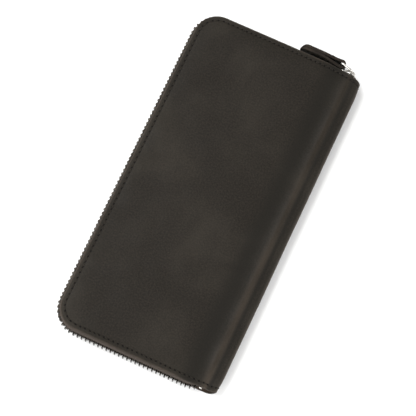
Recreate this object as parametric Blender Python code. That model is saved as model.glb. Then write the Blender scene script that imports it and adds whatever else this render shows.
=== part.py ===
"""Zip-around long wallet, closed and lying on its back cover.

X runs across the wallet from the long zip side (-X) to the spine (+X), Y runs along it
towards the closed end of the zip, and Z points up through the thickness. The origin is the
middle of the box at the bottom. Everything is in metres.
"""

import math

import bmesh
import bpy
from mathutils import Matrix, Vector

MM = 0.001

# Overall sizes
WIDTH = 97 * MM
LENGTH = 195 * MM
THICKNESS = 15 * MM
MID_Z = THICKNESS / 2

# Leather and textile thicknesses
LEATHER = 1.4 * MM
BOARD = 0.5 * MM
LINING = 0.5 * MM
DIVIDER = 0.4 * MM
POCKET = 0.4 * MM
TAPE = 0.4 * MM
COIN_PANEL = 0.5 * MM
GUSSET = 0.4 * MM

# Zip teeth
TOOTH_DEPTH = 2.4 * MM
TOOTH_PITCH = 2.43 * MM
TOOTH_WIDTH = 1.05 * MM
TEETH_PROUD = 1.3 * MM
BEAD_LOW = 4.8 * MM
BEAD_HIGH = 6.2 * MM
TOOTH_TIP = 8.4 * MM
TAPE_TOP = 4.6 * MM
TAPE_FLANGE = 9 * MM
TAPE_TAIL_FLANGE = 1.0 * MM
TAPE_TAIL_BLEND = 1.5 * MM

# Cover outline
CORNER = 13 * MM
COVER_X = -WIDTH / 2 + TEETH_PROUD
COVER_Y = LENGTH / 2 - TEETH_PROUD
FOLD_X = WIDTH / 2 - MID_Z
TAPER_START_X = FOLD_X - 16 * MM
TAPER_HEAD = 1.4 * MM
TAPER_FOOT = 0.3 * MM
LINING_TAPER = 1.4 * MM
FOLD_SLIT = 0.15 * MM
FOLD_AXIS_RISE = LEATHER / 2

# Heights of the layers of one half, measured from the outside of its cover
BOARD_Z = 1.65 * MM
TAPE_Z = 1.65 * MM
LINING_Z = 2.4 * MM
DIVIDER_Z = 3.1 * MM
POCKET_Z = 3.7 * MM
POCKET_STEP_Z = 0.6 * MM
COIN_PANEL_Z = 6.2 * MM

# Interior layout
BOARD_INSET = 10.5 * MM
LINING_INSET = 1.4 * MM
POCKET_HALF_Y = 87.3 * MM
POCKET_SPINE_X = 38 * MM
POCKET_COUNT = 4
FIRST_SLOT_X = -38 * MM
SLOT_PITCH = 10 * MM
POCKET_CORNER = 3 * MM
DIVIDER_X = -42 * MM

# Spine
SPINE_FOOT_Y = -94.4 * MM
SPINE_HEAD_Y = 91.7 * MM
SPINE_ARC_DEG = 78
SPINE_LINING_ARC_DEG = 70
SPINE_LINING_R = 5.8 * MM
ARC_STEPS = 16

# Zip wall: the line that the tape and the teeth follow round three sides
WALL_X = -WIDTH / 2 + TOOTH_DEPTH / 2
WALL_Y = LENGTH / 2 - TOOTH_DEPTH / 2
WALL_R = CORNER
DRAW_IN = 1.8 * MM
DRAW_FOOT_X = (31 * MM, 39.5 * MM)
DRAW_HEAD_X = (26 * MM, 34.2 * MM)
TAPE_FOOT_X = 40.5 * MM
TAPE_HEAD_X = 47.9 * MM
TEETH_FOOT_X = 39.5 * MM
TEETH_HEAD_X = 41.3 * MM
STOP_SIZE = (1.5 * MM, 2.0 * MM, 1.8 * MM)
BOTTOM_STOP_SIZE = (1.5 * MM, 2.2 * MM, 3.2 * MM)

# Main slider, with its crown, ring and leather pull
SLIDER_X = 40 * MM
SLIDER_Y = WALL_Y - DRAW_IN
SLIDER_LENGTH = 11 * MM
SLIDER_WIDTH = 8.6 * MM
PLATE = 0.9 * MM
PLATE_CLEAR = 0.25 * MM
LIP = 0.8 * MM
LIP_CLEAR = 0.3 * MM
POST_X = 44.0 * MM
POST_R = 1.0 * MM
CROWN_HALF_X = 3.1 * MM
CROWN_HEIGHT = 2.6 * MM
CROWN_BAR = 0.8 * MM
CROWN_WIDTH = 1.6 * MM
CROWN_GAP = 0.1 * MM
RING_WIRE_R = 0.6 * MM
RING_NEAR_X = 40.8 * MM
RING_FAR_X = 33.6 * MM
RING_FAR_Y = 99.7 * MM
RING_HALF_Z = 5.2 * MM
RING_CORNER = 1.4 * MM
PULL_LEATHER = 1.3 * MM
PULL_WIDTH = 8.4 * MM
PULL_END_X = 9.6 * MM
PULL_EYE_R = 0.8 * MM
PULL_EYE_X = RING_FAR_X + 0.8 * MM
PULL_SLIT = 0.2 * MM
PULL_OPENS_X = 22 * MM
PULL_BOW = 0.45 * MM
PULL_NOSE_X = 13.5 * MM
PULL_NOSE_DROP = 0.5 * MM

# Coin compartment in the middle
COIN_SPINE_X = 45.8 * MM
COIN_MOUTH_X = -37.5 * MM
COIN_HALF_Y = 91.5 * MM
COIL_X = -40.4 * MM
COIL_DEPTH = 1.0 * MM
COIL_HALF_Y = 79 * MM
COIL_WIDTH = 2.0 * MM
COIL_CLEAR = 0.1 * MM
COIN_TAPE = 0.25 * MM
COIN_SLIDER_Y = 76 * MM
COIN_SLIDER_LENGTH = 8 * MM
COIN_SLIDER_WIDTH = 5.3 * MM
COIN_PLATE = 0.7 * MM
COIN_PLATE_CLEAR = 0.3 * MM
COIN_POST_Y = 79.4 * MM
COIN_POST_R = 0.35 * MM
COIN_CROWN_HALF_Y = 2.4 * MM
COIN_CROWN_HEIGHT = 1.9 * MM
COIN_CROWN_BAR = 0.5 * MM
COIN_CROWN_WIDTH = 1.2 * MM
COIN_PULL_THICKNESS = 0.8 * MM
COIN_PULL_LENGTH = 13 * MM
COIN_PULL_HALF_Z = 2.2 * MM
COIN_PULL_BAR = 0.9 * MM

# Pleated gussets at the two short ends
GUSSET_X = (5 * MM, 38 * MM)
GUSSET_Y = (87.7 * MM, 91.8 * MM)
GUSSET_Z = (3.2 * MM, 6.0 * MM)

# The slider's crown and pull stand out at one end, so the wallet sits this far off centre
CROWN_TOP_Y = SLIDER_Y + TOOTH_DEPTH / 2 + PLATE_CLEAR + PLATE + CROWN_HEIGHT
RING_NEAR_Y = CROWN_TOP_Y - CROWN_BAR - RING_WIRE_R - 0.2 * MM
REACH_Y = max(CROWN_TOP_Y, RING_FAR_Y + PULL_EYE_R + PULL_LEATHER)
FRAME_Y = (LENGTH / 2 - REACH_Y) / 2

COLOURS = {
    "outer_leather": ((0.034, 0.027, 0.021), 0.55, 0.0),
    "lining_leather": ((0.060, 0.038, 0.024), 0.65, 0.0),
    "pocket_leather": ((0.050, 0.033, 0.022), 0.60, 0.0),
    "lining_fabric": ((0.030, 0.026, 0.023), 0.90, 0.0),
    "board": ((0.35, 0.31, 0.25), 0.95, 0.0),
    "zip_tape": ((0.022, 0.019, 0.017), 0.90, 0.0),
    "zip_coil": ((0.020, 0.018, 0.017), 0.45, 0.0),
    "zip_metal": ((0.62, 0.60, 0.56), 0.28, 1.0),
}

PARTS = bpy.data.collections.new("long_wallet")
CUTTERS = bpy.data.collections.new("union_tools")


def clear_scene():
    for old in list(bpy.data.objects):
        bpy.data.objects.remove(old, do_unlink=True)
    for group in (PARTS, CUTTERS):
        bpy.context.scene.collection.children.link(group)


def material(slot):
    """The Principled material of one slot, made the first time it is asked for."""
    found = bpy.data.materials.get(slot)
    if found:
        return found
    colour, roughness, metallic = COLOURS[slot]
    made = bpy.data.materials.new(slot)
    made.use_nodes = True
    shader = made.node_tree.nodes["Principled BSDF"]
    shader.inputs["Base Color"].default_value = (*colour, 1.0)
    shader.inputs["Roughness"].default_value = roughness
    shader.inputs["Metallic"].default_value = metallic
    return made


def empty(name, location, parent=None):
    """An empty on a joint's axis, given in the wallet's own coordinates."""
    made = bpy.data.objects.new(name, None)
    made.empty_display_size = 5 * MM
    PARTS.objects.link(made)
    if parent:
        made.parent = parent
        made.location = Vector(location) - Vector(parent["at"])
    else:
        made.location = location
    made["at"] = location
    return made


def attach(piece, slot, joint):
    """Puts a piece on its joint's empty, keeping it where it was modelled."""
    piece.data.materials.append(material(slot))
    PARTS.objects.link(piece)
    piece.parent = joint
    piece.matrix_parent_inverse = Matrix.Translation(-Vector(joint["at"]))
    return piece


def extruded(name, outlines, low, high, plane="XY"):
    """Flat outlines filled and extruded from low to high across their plane."""
    curve = bpy.data.curves.new(name, "CURVE")
    curve.dimensions = "2D"
    curve.fill_mode = "BOTH"
    curve.extrude = (high - low) / 2
    for points in outlines:
        spline = curve.splines.new("POLY")
        spline.points.add(len(points) - 1)
        for point, (u, v) in zip(spline.points, points):
            point.co = (u, v, 0, 1)
        spline.use_cyclic_u = True
    piece = bpy.data.objects.new(name, curve)
    middle = (low + high) / 2
    if plane == "XY":
        piece.location = (0, 0, middle)
    elif plane == "XZ":
        piece.location = (0, middle, 0)
        piece.rotation_euler = (math.radians(90), 0, 0)
    else:
        piece.location = (middle, 0, 0)
        piece.rotation_euler = (math.radians(90), 0, math.radians(90))
    return piece


def box(name, low, high):
    """A box between two corners."""
    mesh = bpy.data.meshes.new(name)
    form = bmesh.new()
    bmesh.ops.create_cube(form, size=1.0)
    size = Vector(high) - Vector(low)
    bmesh.ops.scale(form, vec=size, verts=form.verts)
    form.to_mesh(mesh)
    form.free()
    piece = bpy.data.objects.new(name, mesh)
    piece.location = (Vector(low) + Vector(high)) / 2
    return piece


def as_mesh(piece):
    """The same piece as a welded mesh, so that a Boolean can use it."""
    if piece.type == "MESH":
        return piece
    bpy.context.scene.collection.objects.link(piece)
    bpy.context.view_layer.update()
    seen = piece.evaluated_get(bpy.context.evaluated_depsgraph_get())
    mesh = bpy.data.meshes.new_from_object(seen)
    form = bmesh.new()
    form.from_mesh(mesh)
    bmesh.ops.remove_doubles(form, verts=form.verts, dist=0.001 * MM)
    form.to_mesh(mesh)
    form.free()
    made = bpy.data.objects.new(piece.name + "_mesh", mesh)
    made.matrix_world = piece.matrix_world
    name = piece.name
    bpy.data.objects.remove(piece, do_unlink=True)
    made.name = name
    return made


def union(base, others, joint):
    """Adds Boolean unions to base; the other pieces become hidden tools on the same joint."""
    for other in others:
        CUTTERS.objects.link(other)
        other.parent = joint
        other.matrix_parent_inverse = Matrix.Translation(-Vector(joint["at"]))
        other.hide_render = True
        other.display_type = "WIRE"
        step = base.modifiers.new("join_" + other.name, "BOOLEAN")
        step.operation = "UNION"
        step.solver = "EXACT"
        step.object = other
    return base


def arc(centre, radius, start_deg, end_deg, steps):
    """Points on an arc, both ends included."""
    points = []
    for i in range(steps + 1):
        angle = math.radians(start_deg + (end_deg - start_deg) * i / steps)
        points.append((centre[0] + radius * math.cos(angle), centre[1] + radius * math.sin(angle)))
    return points


def rounded_rectangle(x0, x1, y0, y1, radius, steps=4):
    corners = (
        ((x1 - radius, y1 - radius), 0),
        ((x0 + radius, y1 - radius), 90),
        ((x0 + radius, y0 + radius), 180),
        ((x1 - radius, y0 + radius), 270),
    )
    points = []
    for centre, start in corners:
        points += arc(centre, radius, start, start + 90, steps)
    return points


def half_outline(inset, spine_x, tapers=(TAPER_HEAD, TAPER_FOOT), taper_steps=4):
    """The cover's outline moved inwards: two round corners, and short edges that draw in near
    the spine by the tapers of the head and the foot."""
    left = COVER_X + inset
    reach = COVER_Y - inset
    radius = CORNER - inset
    sides = []
    for taper in tapers:
        points = []
        for i in range(taper_steps + 1):
            share = 1 - i / taper_steps
            x = TAPER_START_X + (spine_x - TAPER_START_X) * share
            points.append((x, reach - taper * share * share))
        sides.append(points + arc((left + radius, reach - radius), radius, 90, 180, 8))
    upper, lower = sides
    return upper + [(x, -y) for x, y in reversed(lower)]


def side_levels(side, bottom, thickness):
    """Low and high Z of a layer: the front half is the back half turned over."""
    if side == "back":
        return bottom, bottom + thickness
    return THICKNESS - bottom - thickness, THICKNESS - bottom


def half_layers(side, joint):
    """Cover, board, lining, bill divider and stepped card pockets of one half."""
    end_x = FOLD_X - FOLD_SLIT
    plates = (
        ("cover", half_outline(0, end_x), 0, LEATHER, "outer_leather"),
        ("stiffener", half_outline(BOARD_INSET, end_x - 2 * MM), BOARD_Z, BOARD, "board"),
        (
            "lining",
            half_outline(LINING_INSET, end_x, (LINING_TAPER, LINING_TAPER)),
            LINING_Z,
            LINING,
            "lining_leather",
        ),
        (
            "bill_divider",
            rounded_rectangle(
                DIVIDER_X, POCKET_SPINE_X, -POCKET_HALF_Y, POCKET_HALF_Y, POCKET_CORNER
            ),
            DIVIDER_Z,
            DIVIDER,
            "lining_fabric",
        ),
    )
    for name, outline, bottom, thickness, slot in plates:
        low, high = side_levels(side, bottom, thickness)
        attach(extruded(f"{side}_{name}", [outline], low, high), slot, joint)
    for i in range(POCKET_COUNT):
        outline = rounded_rectangle(
            FIRST_SLOT_X + i * SLOT_PITCH,
            POCKET_SPINE_X,
            -POCKET_HALF_Y,
            POCKET_HALF_Y,
            POCKET_CORNER,
        )
        low, high = side_levels(side, POCKET_Z + i * POCKET_STEP_Z, POCKET)
        name = f"{side}_card_pocket_{i + 1}"
        attach(extruded(name, [outline], low, high), "pocket_leather", joint)


def draw_in(x, run):
    """How far the zip's line has turned inwards at x, on the run of a short side near the
    spine."""
    share = min(max((x - run[0]) / (run[1] - run[0]), 0), 1)
    return DRAW_IN * share * share * (3 - 2 * share)


def zip_point(s, foot_x):
    """Point and outward direction at length s along the zip, from its foot near the spine."""
    run_x = foot_x - (WALL_X + WALL_R)
    run_y = 2 * (WALL_Y - WALL_R)
    bend = WALL_R * math.pi / 2
    if s < run_x:
        return (foot_x - s, -WALL_Y + draw_in(foot_x - s, DRAW_FOOT_X)), (0, -1)
    s -= run_x
    if s < bend:
        angle = math.radians(270) - s / WALL_R
        out = (math.cos(angle), math.sin(angle))
        return (WALL_X + WALL_R * (1 + out[0]), -WALL_Y + WALL_R * (1 + out[1])), out
    s -= bend
    if s < run_y:
        return (WALL_X, -WALL_Y + WALL_R + s), (-1, 0)
    s -= run_y
    if s < bend:
        angle = math.radians(180) - s / WALL_R
        out = (math.cos(angle), math.sin(angle))
        return (WALL_X + WALL_R * (1 + out[0]), WALL_Y - WALL_R * (1 - out[1])), out
    x = WALL_X + WALL_R + s - bend
    return (x, WALL_Y - draw_in(x, DRAW_HEAD_X)), (0, 1)


def zip_length(foot_x, head_x):
    """Length of the zip's line between two places on the short sides."""
    straight = foot_x + head_x - 2 * (WALL_X + WALL_R)
    return straight + 2 * (WALL_Y - WALL_R) + WALL_R * math.pi


def zip_corner_stations(foot_x, head_x, steps=8):
    """Lengths along the zip where a swept section needs a ring."""
    run_x = foot_x - (WALL_X + WALL_R)
    bend = WALL_R * math.pi / 2
    second = run_x + bend + 2 * (WALL_Y - WALL_R)
    total = zip_length(foot_x, head_x)
    foot_turns, head_turns = (
        [start + (end - start) * i / 4 for i in range(5)] for start, end in (DRAW_FOOT_X, DRAW_HEAD_X)
    )
    stations = [0.0] + [foot_x - x for x in reversed(foot_turns)]
    for start in (run_x, second):
        stations += [start + bend * i / steps for i in range(steps + 1)]
    return stations + [total - head_x + x for x in head_turns] + [total]


def on_zip(s, foot_x, out, z):
    """A point beside the zip's line: out is the distance towards the outside."""
    (x, y), (ox, oy) = zip_point(s, foot_x)
    return (x + ox * out, y + oy * out, z)


def mesh_object(name, form):
    bmesh.ops.recalc_face_normals(form, faces=form.faces)
    mesh = bpy.data.meshes.new(name)
    form.to_mesh(mesh)
    form.free()
    return bpy.data.objects.new(name, mesh)


def zip_tape(side, joint):
    """L-shaped tape: a flange sewn between cover and lining, and the wall up to the teeth."""
    half = TAPE / 2
    total = zip_length(TAPE_FOOT_X, TAPE_HEAD_X)
    tail = total - (TAPE_HEAD_X - FOLD_X)
    stations = zip_corner_stations(TAPE_FOOT_X, TAPE_HEAD_X)
    stations[-1:] = [tail - TAPE_TAIL_BLEND, tail, total]
    form = bmesh.new()
    rings = []
    for s in stations:
        (x, y), _ = zip_point(s, TAPE_FOOT_X)
        drawn = WALL_Y - abs(y) if x > 0 else 0
        flange = TAPE_FLANGE - drawn if s < tail else TAPE_TAIL_FLANGE
        section = (
            (-flange, TAPE_Z),
            (half, TAPE_Z),
            (half, TAPE_TOP),
            (-half, TAPE_TOP),
            (-half, TAPE_Z + TAPE),
            (-flange, TAPE_Z + TAPE),
        )
        ring = []
        for out, z in section:
            height = z if side == "back" else THICKNESS - z
            ring.append(form.verts.new(on_zip(s, TAPE_FOOT_X, out, height)))
        rings.append(ring)
    count = len(section)
    for here, there in zip(rings, rings[1:]):
        for i in range(count):
            j = (i + 1) % count
            form.faces.new((here[i], here[j], there[j], there[i]))
    form.faces.new(rings[0])
    form.faces.new(rings[-1])
    attach(mesh_object(f"{side}_zip_tape", form), "zip_tape", joint)


def zip_teeth(side, joint):
    """One row of metal teeth on its bead; the front row stands half a pitch along, so that the
    two rows mesh."""
    half = TOOTH_DEPTH / 2
    levels = [BEAD_LOW, BEAD_HIGH, TOOTH_TIP]
    start = 0.5 * MM
    if side == "front":
        levels = [THICKNESS - z for z in levels]
        start += TOOTH_PITCH / 2
    base, root, tip = levels
    total = zip_length(TEETH_FOOT_X, TEETH_HEAD_X)
    count = int((total - start - TOOTH_WIDTH) / TOOTH_PITCH)
    form = bmesh.new()

    def pair(s, z):
        points = (on_zip(s, TEETH_FOOT_X, out, z) for out in (-half, half))
        return [form.verts.new(point) for point in points]

    def bridge(a, b):
        form.faces.new((a[0], a[1], b[1], b[0]))

    def base_ring(s):
        return pair(s, base), pair(s, root)

    before = base_ring(0.0)
    bridge(*before)
    for i in range(count):
        left = start + i * TOOTH_PITCH
        right = left + TOOTH_WIDTH
        ring_left, ring_right = base_ring(left), base_ring(right)
        tip_left, tip_right = pair(left, tip), pair(right, tip)
        for here, there in ((before, ring_left), (ring_left, ring_right)):
            bridge(here[0], there[0])
            for k in (0, 1):
                form.faces.new((here[0][k], here[1][k], there[1][k], there[0][k]))
        bridge(before[1], ring_left[1])
        bridge(ring_left[1], tip_left)
        bridge(tip_left, tip_right)
        bridge(tip_right, ring_right[1])
        for k in (0, 1):
            form.faces.new((ring_left[1][k], tip_left[k], tip_right[k], ring_right[1][k]))
        before = ring_right
    bridge(*before)
    attach(mesh_object(f"{side}_zip_teeth", form), "zip_metal", joint)


def zip_stops(joint):
    """Two top stops past the slider and the bottom stop at the other end of the zip."""
    size_x, size_y, size_z = STOP_SIZE
    for side in ("back", "front"):
        low, high = side_levels(side, BEAD_LOW, size_z)
        corner = (TAPE_HEAD_X - size_x, SLIDER_Y - size_y / 2, low)
        far = (TAPE_HEAD_X, SLIDER_Y + size_y / 2, high)
        attach(box(f"{side}_top_stop", corner, far), "zip_metal", joint)
    size_x, size_y, size_z = BOTTOM_STOP_SIZE
    corner = (TAPE_FOOT_X + 0.8 * MM, -SLIDER_Y - size_y / 2, MID_Z - size_z / 2)
    far = (corner[0] + size_x, -SLIDER_Y + size_y / 2, MID_Z + size_z / 2)
    attach(box("bottom_stop", corner, far), "zip_metal", joint)


def spine(joint):
    """The leather that wraps the spine, and the lining inside it."""
    centre = (FOLD_X, MID_Z)
    layers = (
        ("spine_cover", MID_Z, LEATHER, SPINE_ARC_DEG, "outer_leather"),
        ("spine_lining", SPINE_LINING_R, LINING, SPINE_LINING_ARC_DEG, "lining_leather"),
    )
    for name, outer, thickness, reach, slot in layers:
        outline = arc(centre, outer, -reach, reach, ARC_STEPS)
        outline += arc(centre, outer - thickness, reach, -reach, ARC_STEPS)
        piece = extruded(name, [outline], SPINE_FOOT_Y, SPINE_HEAD_Y, "XZ")
        attach(piece, slot, joint)


def coin_compartment(joint):
    """Two panels, joined at the spine lining, with a coil zip along their long free edge."""
    for side in ("back", "front"):
        low, high = side_levels(side, COIN_PANEL_Z, COIN_PANEL)
        outline = rounded_rectangle(
            COIN_MOUTH_X, COIN_SPINE_X, -COIN_HALF_Y, COIN_HALF_Y, POCKET_CORNER
        )
        attach(extruded(f"coin_{side}_panel", [outline], low, high), "lining_leather", joint)
        attach(coin_tape(side), "zip_tape", joint)
        low, high = side_levels(side, MID_Z - COIL_CLEAR - COIL_WIDTH, COIL_WIDTH)
        corner = (COIL_X - COIL_DEPTH / 2, -COIL_HALF_Y, low)
        far = (COIL_X + COIL_DEPTH / 2, COIL_HALF_Y, high)
        attach(box(f"coin_{side}_coil", corner, far), "zip_coil", joint)


def coin_tape(side):
    """A tape that leaves the coil, goes round the slider's edge and lies under the panel."""
    top = MID_Z - COIL_CLEAR - COIL_WIDTH - 0.15 * MM
    floor = 4.45 * MM
    half = COIN_TAPE / 2
    line = (
        (COIL_X - half, top),
        (COIL_X - half, floor),
        (-38.2 * MM, floor),
        (-31 * MM, 5.75 * MM),
    )
    back = (
        (-31 * MM, 5.75 * MM + COIN_TAPE),
        (-38.3 * MM, floor + COIN_TAPE),
        (COIL_X + half, floor + COIN_TAPE),
        (COIL_X + half, top),
    )
    outline = [(x, z if side == "back" else THICKNESS - z) for x, z in line + back]
    return extruded(f"coin_{side}_tape", [outline], -COIL_HALF_Y, COIL_HALF_Y, "XZ")


def gussets(joint):
    """Pleated leather between each half and the coin compartment at both short ends."""
    inner, outer = GUSSET_Y
    low, high = GUSSET_Z
    middle = (low + high) / 2
    for end, sign in (("foot", -1), ("head", 1)):
        for side in ("back", "front"):
            pleat = (
                (outer, low),
                (inner, middle),
                (outer, high),
                (outer, high - GUSSET),
                (inner + 2 * GUSSET, middle),
                (outer, low + GUSSET),
            )
            outline = [(sign * y, z if side == "back" else THICKNESS - z) for y, z in pleat]
            piece = extruded(f"{side}_gusset_{end}", [outline], *GUSSET_X, "YZ")
            attach(piece, "lining_leather", joint)


def slider_plate(name, y_low, y_high):
    """One plate of the slider, drawn in from above: shoulders at the mouth, narrow tail."""
    half = SLIDER_WIDTH / 2
    tail = SLIDER_X - SLIDER_LENGTH / 2
    mouth = SLIDER_X + SLIDER_LENGTH / 2
    outline = (
        (tail, -half + 0.9 * MM),
        (tail + 0.9 * MM, -half),
        (mouth - 2.0 * MM, -half),
        (mouth, -half + 1.6 * MM),
        (mouth, half - 1.6 * MM),
        (mouth - 2.0 * MM, half),
        (tail + 0.9 * MM, half),
        (tail, half - 0.9 * MM),
    )
    shifted = [(x, z + MID_Z) for x, z in outline]
    return as_mesh(extruded(name, [shifted], y_low, y_high, "XZ"))


def slider_body(joint):
    """Two plates with turned-in lips round the teeth, joined by the post at the mouth."""
    outer_face = SLIDER_Y + TOOTH_DEPTH / 2 + PLATE_CLEAR
    inner_face = SLIDER_Y - TOOTH_DEPTH / 2 - PLATE_CLEAR
    lip_outer = SLIDER_Y + TAPE / 2 + LIP_CLEAR
    lip_inner = SLIDER_Y - TAPE / 2 - LIP_CLEAR
    half = SLIDER_WIDTH / 2
    tail = SLIDER_X - SLIDER_LENGTH / 2
    sink = PLATE / 3
    body = slider_plate("slider_body", outer_face, outer_face + PLATE)
    tools = [slider_plate("slider_inner_plate", inner_face - PLATE, inner_face)]
    runs = ((outer_face + sink, lip_outer), (inner_face - sink, lip_inner))
    for i, (from_y, to_y) in enumerate(runs):
        for j, sign in enumerate((-1, 1)):
            z0 = MID_Z + sign * (half - 0.05 * MM)
            z1 = MID_Z + sign * (half - LIP)
            low = (tail + 1.2 * MM, min(from_y, to_y), min(z0, z1))
            high = (tail + SLIDER_LENGTH - 2.4 * MM, max(from_y, to_y), max(z0, z1))
            tools.append(box(f"slider_lip_{i}{j}", low, high))
    low = (POST_X - POST_R, inner_face - sink, MID_Z - POST_R)
    high = (POST_X + POST_R, outer_face + sink, MID_Z + POST_R)
    tools.append(box("slider_post", low, high))
    attach(union(body, tools, joint), "zip_metal", joint)


def arch(half_length, height, bar, steps=6):
    """Outline of a strap arch standing on the line v = 0."""
    radius = 1.2 * bar
    outside = [(half_length, 0)]
    outside += arc((half_length - radius, height - radius), radius, 0, 90, steps)
    outside += arc((-half_length + radius, height - radius), radius, 90, 180, steps)
    outside += [(-half_length, 0)]
    inner = half_length - bar
    top = height - bar
    return outside + [(-inner, 0), (-inner, top), (inner, top), (inner, 0)]


def slider_crown(joint):
    """The strap over the slider's outer plate that carries the ring."""
    foot = SLIDER_Y + TOOTH_DEPTH / 2 + PLATE_CLEAR + PLATE + CROWN_GAP
    shape = arch(CROWN_HALF_X, CROWN_TOP_Y - foot, CROWN_BAR)
    outline = [(SLIDER_X + u, foot + v) for u, v in shape]
    low = MID_Z - CROWN_WIDTH / 2
    piece = extruded("slider_crown", [outline], low, low + CROWN_WIDTH)
    attach(piece, "zip_metal", joint)


def pull_ring(joint):
    """A rectangular wire ring through the crown and the eye of the leather pull."""
    curve = bpy.data.curves.new("pull_ring", "CURVE")
    curve.dimensions = "3D"
    curve.bevel_depth = RING_WIRE_R
    curve.bevel_resolution = 2
    path = rounded_rectangle(
        RING_FAR_X, RING_NEAR_X, MID_Z - RING_HALF_Z, MID_Z + RING_HALF_Z, RING_CORNER
    )
    spline = curve.splines.new("POLY")
    spline.points.add(len(path) - 1)
    slope = (RING_NEAR_Y - RING_FAR_Y) / (RING_NEAR_X - RING_FAR_X)
    for point, (x, z) in zip(spline.points, path):
        point.co = (x, RING_FAR_Y + slope * (x - RING_FAR_X), z, 1)
    spline.use_cyclic_u = True
    attach(bpy.data.objects.new("pull_ring", curve), "zip_metal", joint)


def pull_middle(x):
    """Y of the middle between the pull's legs at x, and half the gap between them."""
    bow = max(math.sin(math.pi * (PULL_EYE_X - x) / (PULL_EYE_X - PULL_NOSE_X)), 0)
    nose = max(PULL_NOSE_X - x, 0) / (PULL_NOSE_X - PULL_END_X)
    opening = max(x - PULL_OPENS_X, 0) / (PULL_EYE_X - PULL_OPENS_X)
    half_gap = PULL_SLIT / 2 + (PULL_EYE_R - PULL_SLIT / 2) * opening**1.5
    return RING_FAR_Y + PULL_BOW * bow - PULL_NOSE_DROP * nose**2, half_gap


def pull_tab(joint):
    """A leather strip folded round the ring, its two legs lying together."""
    lower, upper, lower_inside, upper_inside = [], [], [], []
    steps = 9
    for i in range(steps):
        x = PULL_END_X + (PULL_EYE_X - PULL_END_X) * i / steps
        middle, gap = pull_middle(x)
        lower.append((x, middle - gap - PULL_LEATHER))
        upper.append((x, middle + gap + PULL_LEATHER))
        lower_inside.append((x, middle - gap))
        upper_inside.append((x, middle + gap))
    eye = (PULL_EYE_X, RING_FAR_Y)
    outline = lower + arc(eye, PULL_EYE_R + PULL_LEATHER, -90, 90, ARC_STEPS)
    outline += upper[::-1] + upper_inside
    outline += arc(eye, PULL_EYE_R, 90, -90, ARC_STEPS) + lower_inside[::-1]
    low = MID_Z - PULL_WIDTH / 2
    piece = extruded("pull_tab", [outline], low, low + PULL_WIDTH)
    attach(piece, "outer_leather", joint)


def coin_slider(joint):
    """The small slider of the coin zip: two plates, a post and a crown in one casting."""
    outer_face = COIL_X - COIL_DEPTH / 2 - COIN_PLATE_CLEAR
    inner_face = COIL_X + COIL_DEPTH / 2 + COIN_PLATE_CLEAR
    half_y = COIN_SLIDER_LENGTH / 2
    half_z = COIN_SLIDER_WIDTH / 2
    sink = COIN_PLATE / 3

    def plate(name, x_low, x_high):
        low = (x_low, COIN_SLIDER_Y - half_y, MID_Z - half_z)
        return box(name, low, (x_high, COIN_SLIDER_Y + half_y, MID_Z + half_z))

    body = plate("coin_slider_body", outer_face - COIN_PLATE, outer_face)
    inner = plate("coin_slider_inner_plate", inner_face, inner_face + COIN_PLATE)
    low = (outer_face - sink, COIN_POST_Y - COIN_POST_R, MID_Z - 2 * COIN_POST_R)
    high = (inner_face + sink, COIN_POST_Y + COIN_POST_R, MID_Z + 2 * COIN_POST_R)
    post = box("coin_slider_post", low, high)
    foot = outer_face - COIN_PLATE
    shape = arch(COIN_CROWN_HALF_Y, COIN_CROWN_HEIGHT + sink, COIN_CROWN_BAR)
    outline = [(foot + sink - v, COIN_SLIDER_Y + u) for u, v in shape]
    low_z = MID_Z - COIN_CROWN_WIDTH / 2
    crown = extruded("coin_slider_crown", [outline], low_z, low_z + COIN_CROWN_WIDTH)
    attach(union(body, [inner, post, as_mesh(crown)], joint), "zip_metal", joint)


def coin_pull_x():
    """Middle of the coin pull's thickness, in the crown's opening."""
    plate_top = COIL_X - COIL_DEPTH / 2 - COIN_PLATE_CLEAR - COIN_PLATE
    return plate_top - (COIN_CROWN_HEIGHT - COIN_CROWN_BAR) / 2


def coin_pull(joint):
    """A flat metal pull with an eye, its end bar under the crown."""
    bar_y = COIN_SLIDER_Y
    top = bar_y + COIN_PULL_BAR / 2
    low_z, high_z = MID_Z - COIN_PULL_HALF_Z, MID_Z + COIN_PULL_HALF_Z
    outline = rounded_rectangle(bar_y - COIN_PULL_LENGTH, top, low_z, high_z, 0.8 * MM)
    eye = rounded_rectangle(
        bar_y - 3.6 * MM,
        bar_y - COIN_PULL_BAR / 2,
        low_z + COIN_PULL_BAR,
        high_z - COIN_PULL_BAR,
        0.3 * MM,
    )
    middle = coin_pull_x()
    low, high = middle - COIN_PULL_THICKNESS / 2, middle + COIN_PULL_THICKNESS / 2
    attach(extruded("coin_pull", [outline, eye], low, high, "YZ"), "zip_metal", joint)


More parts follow.
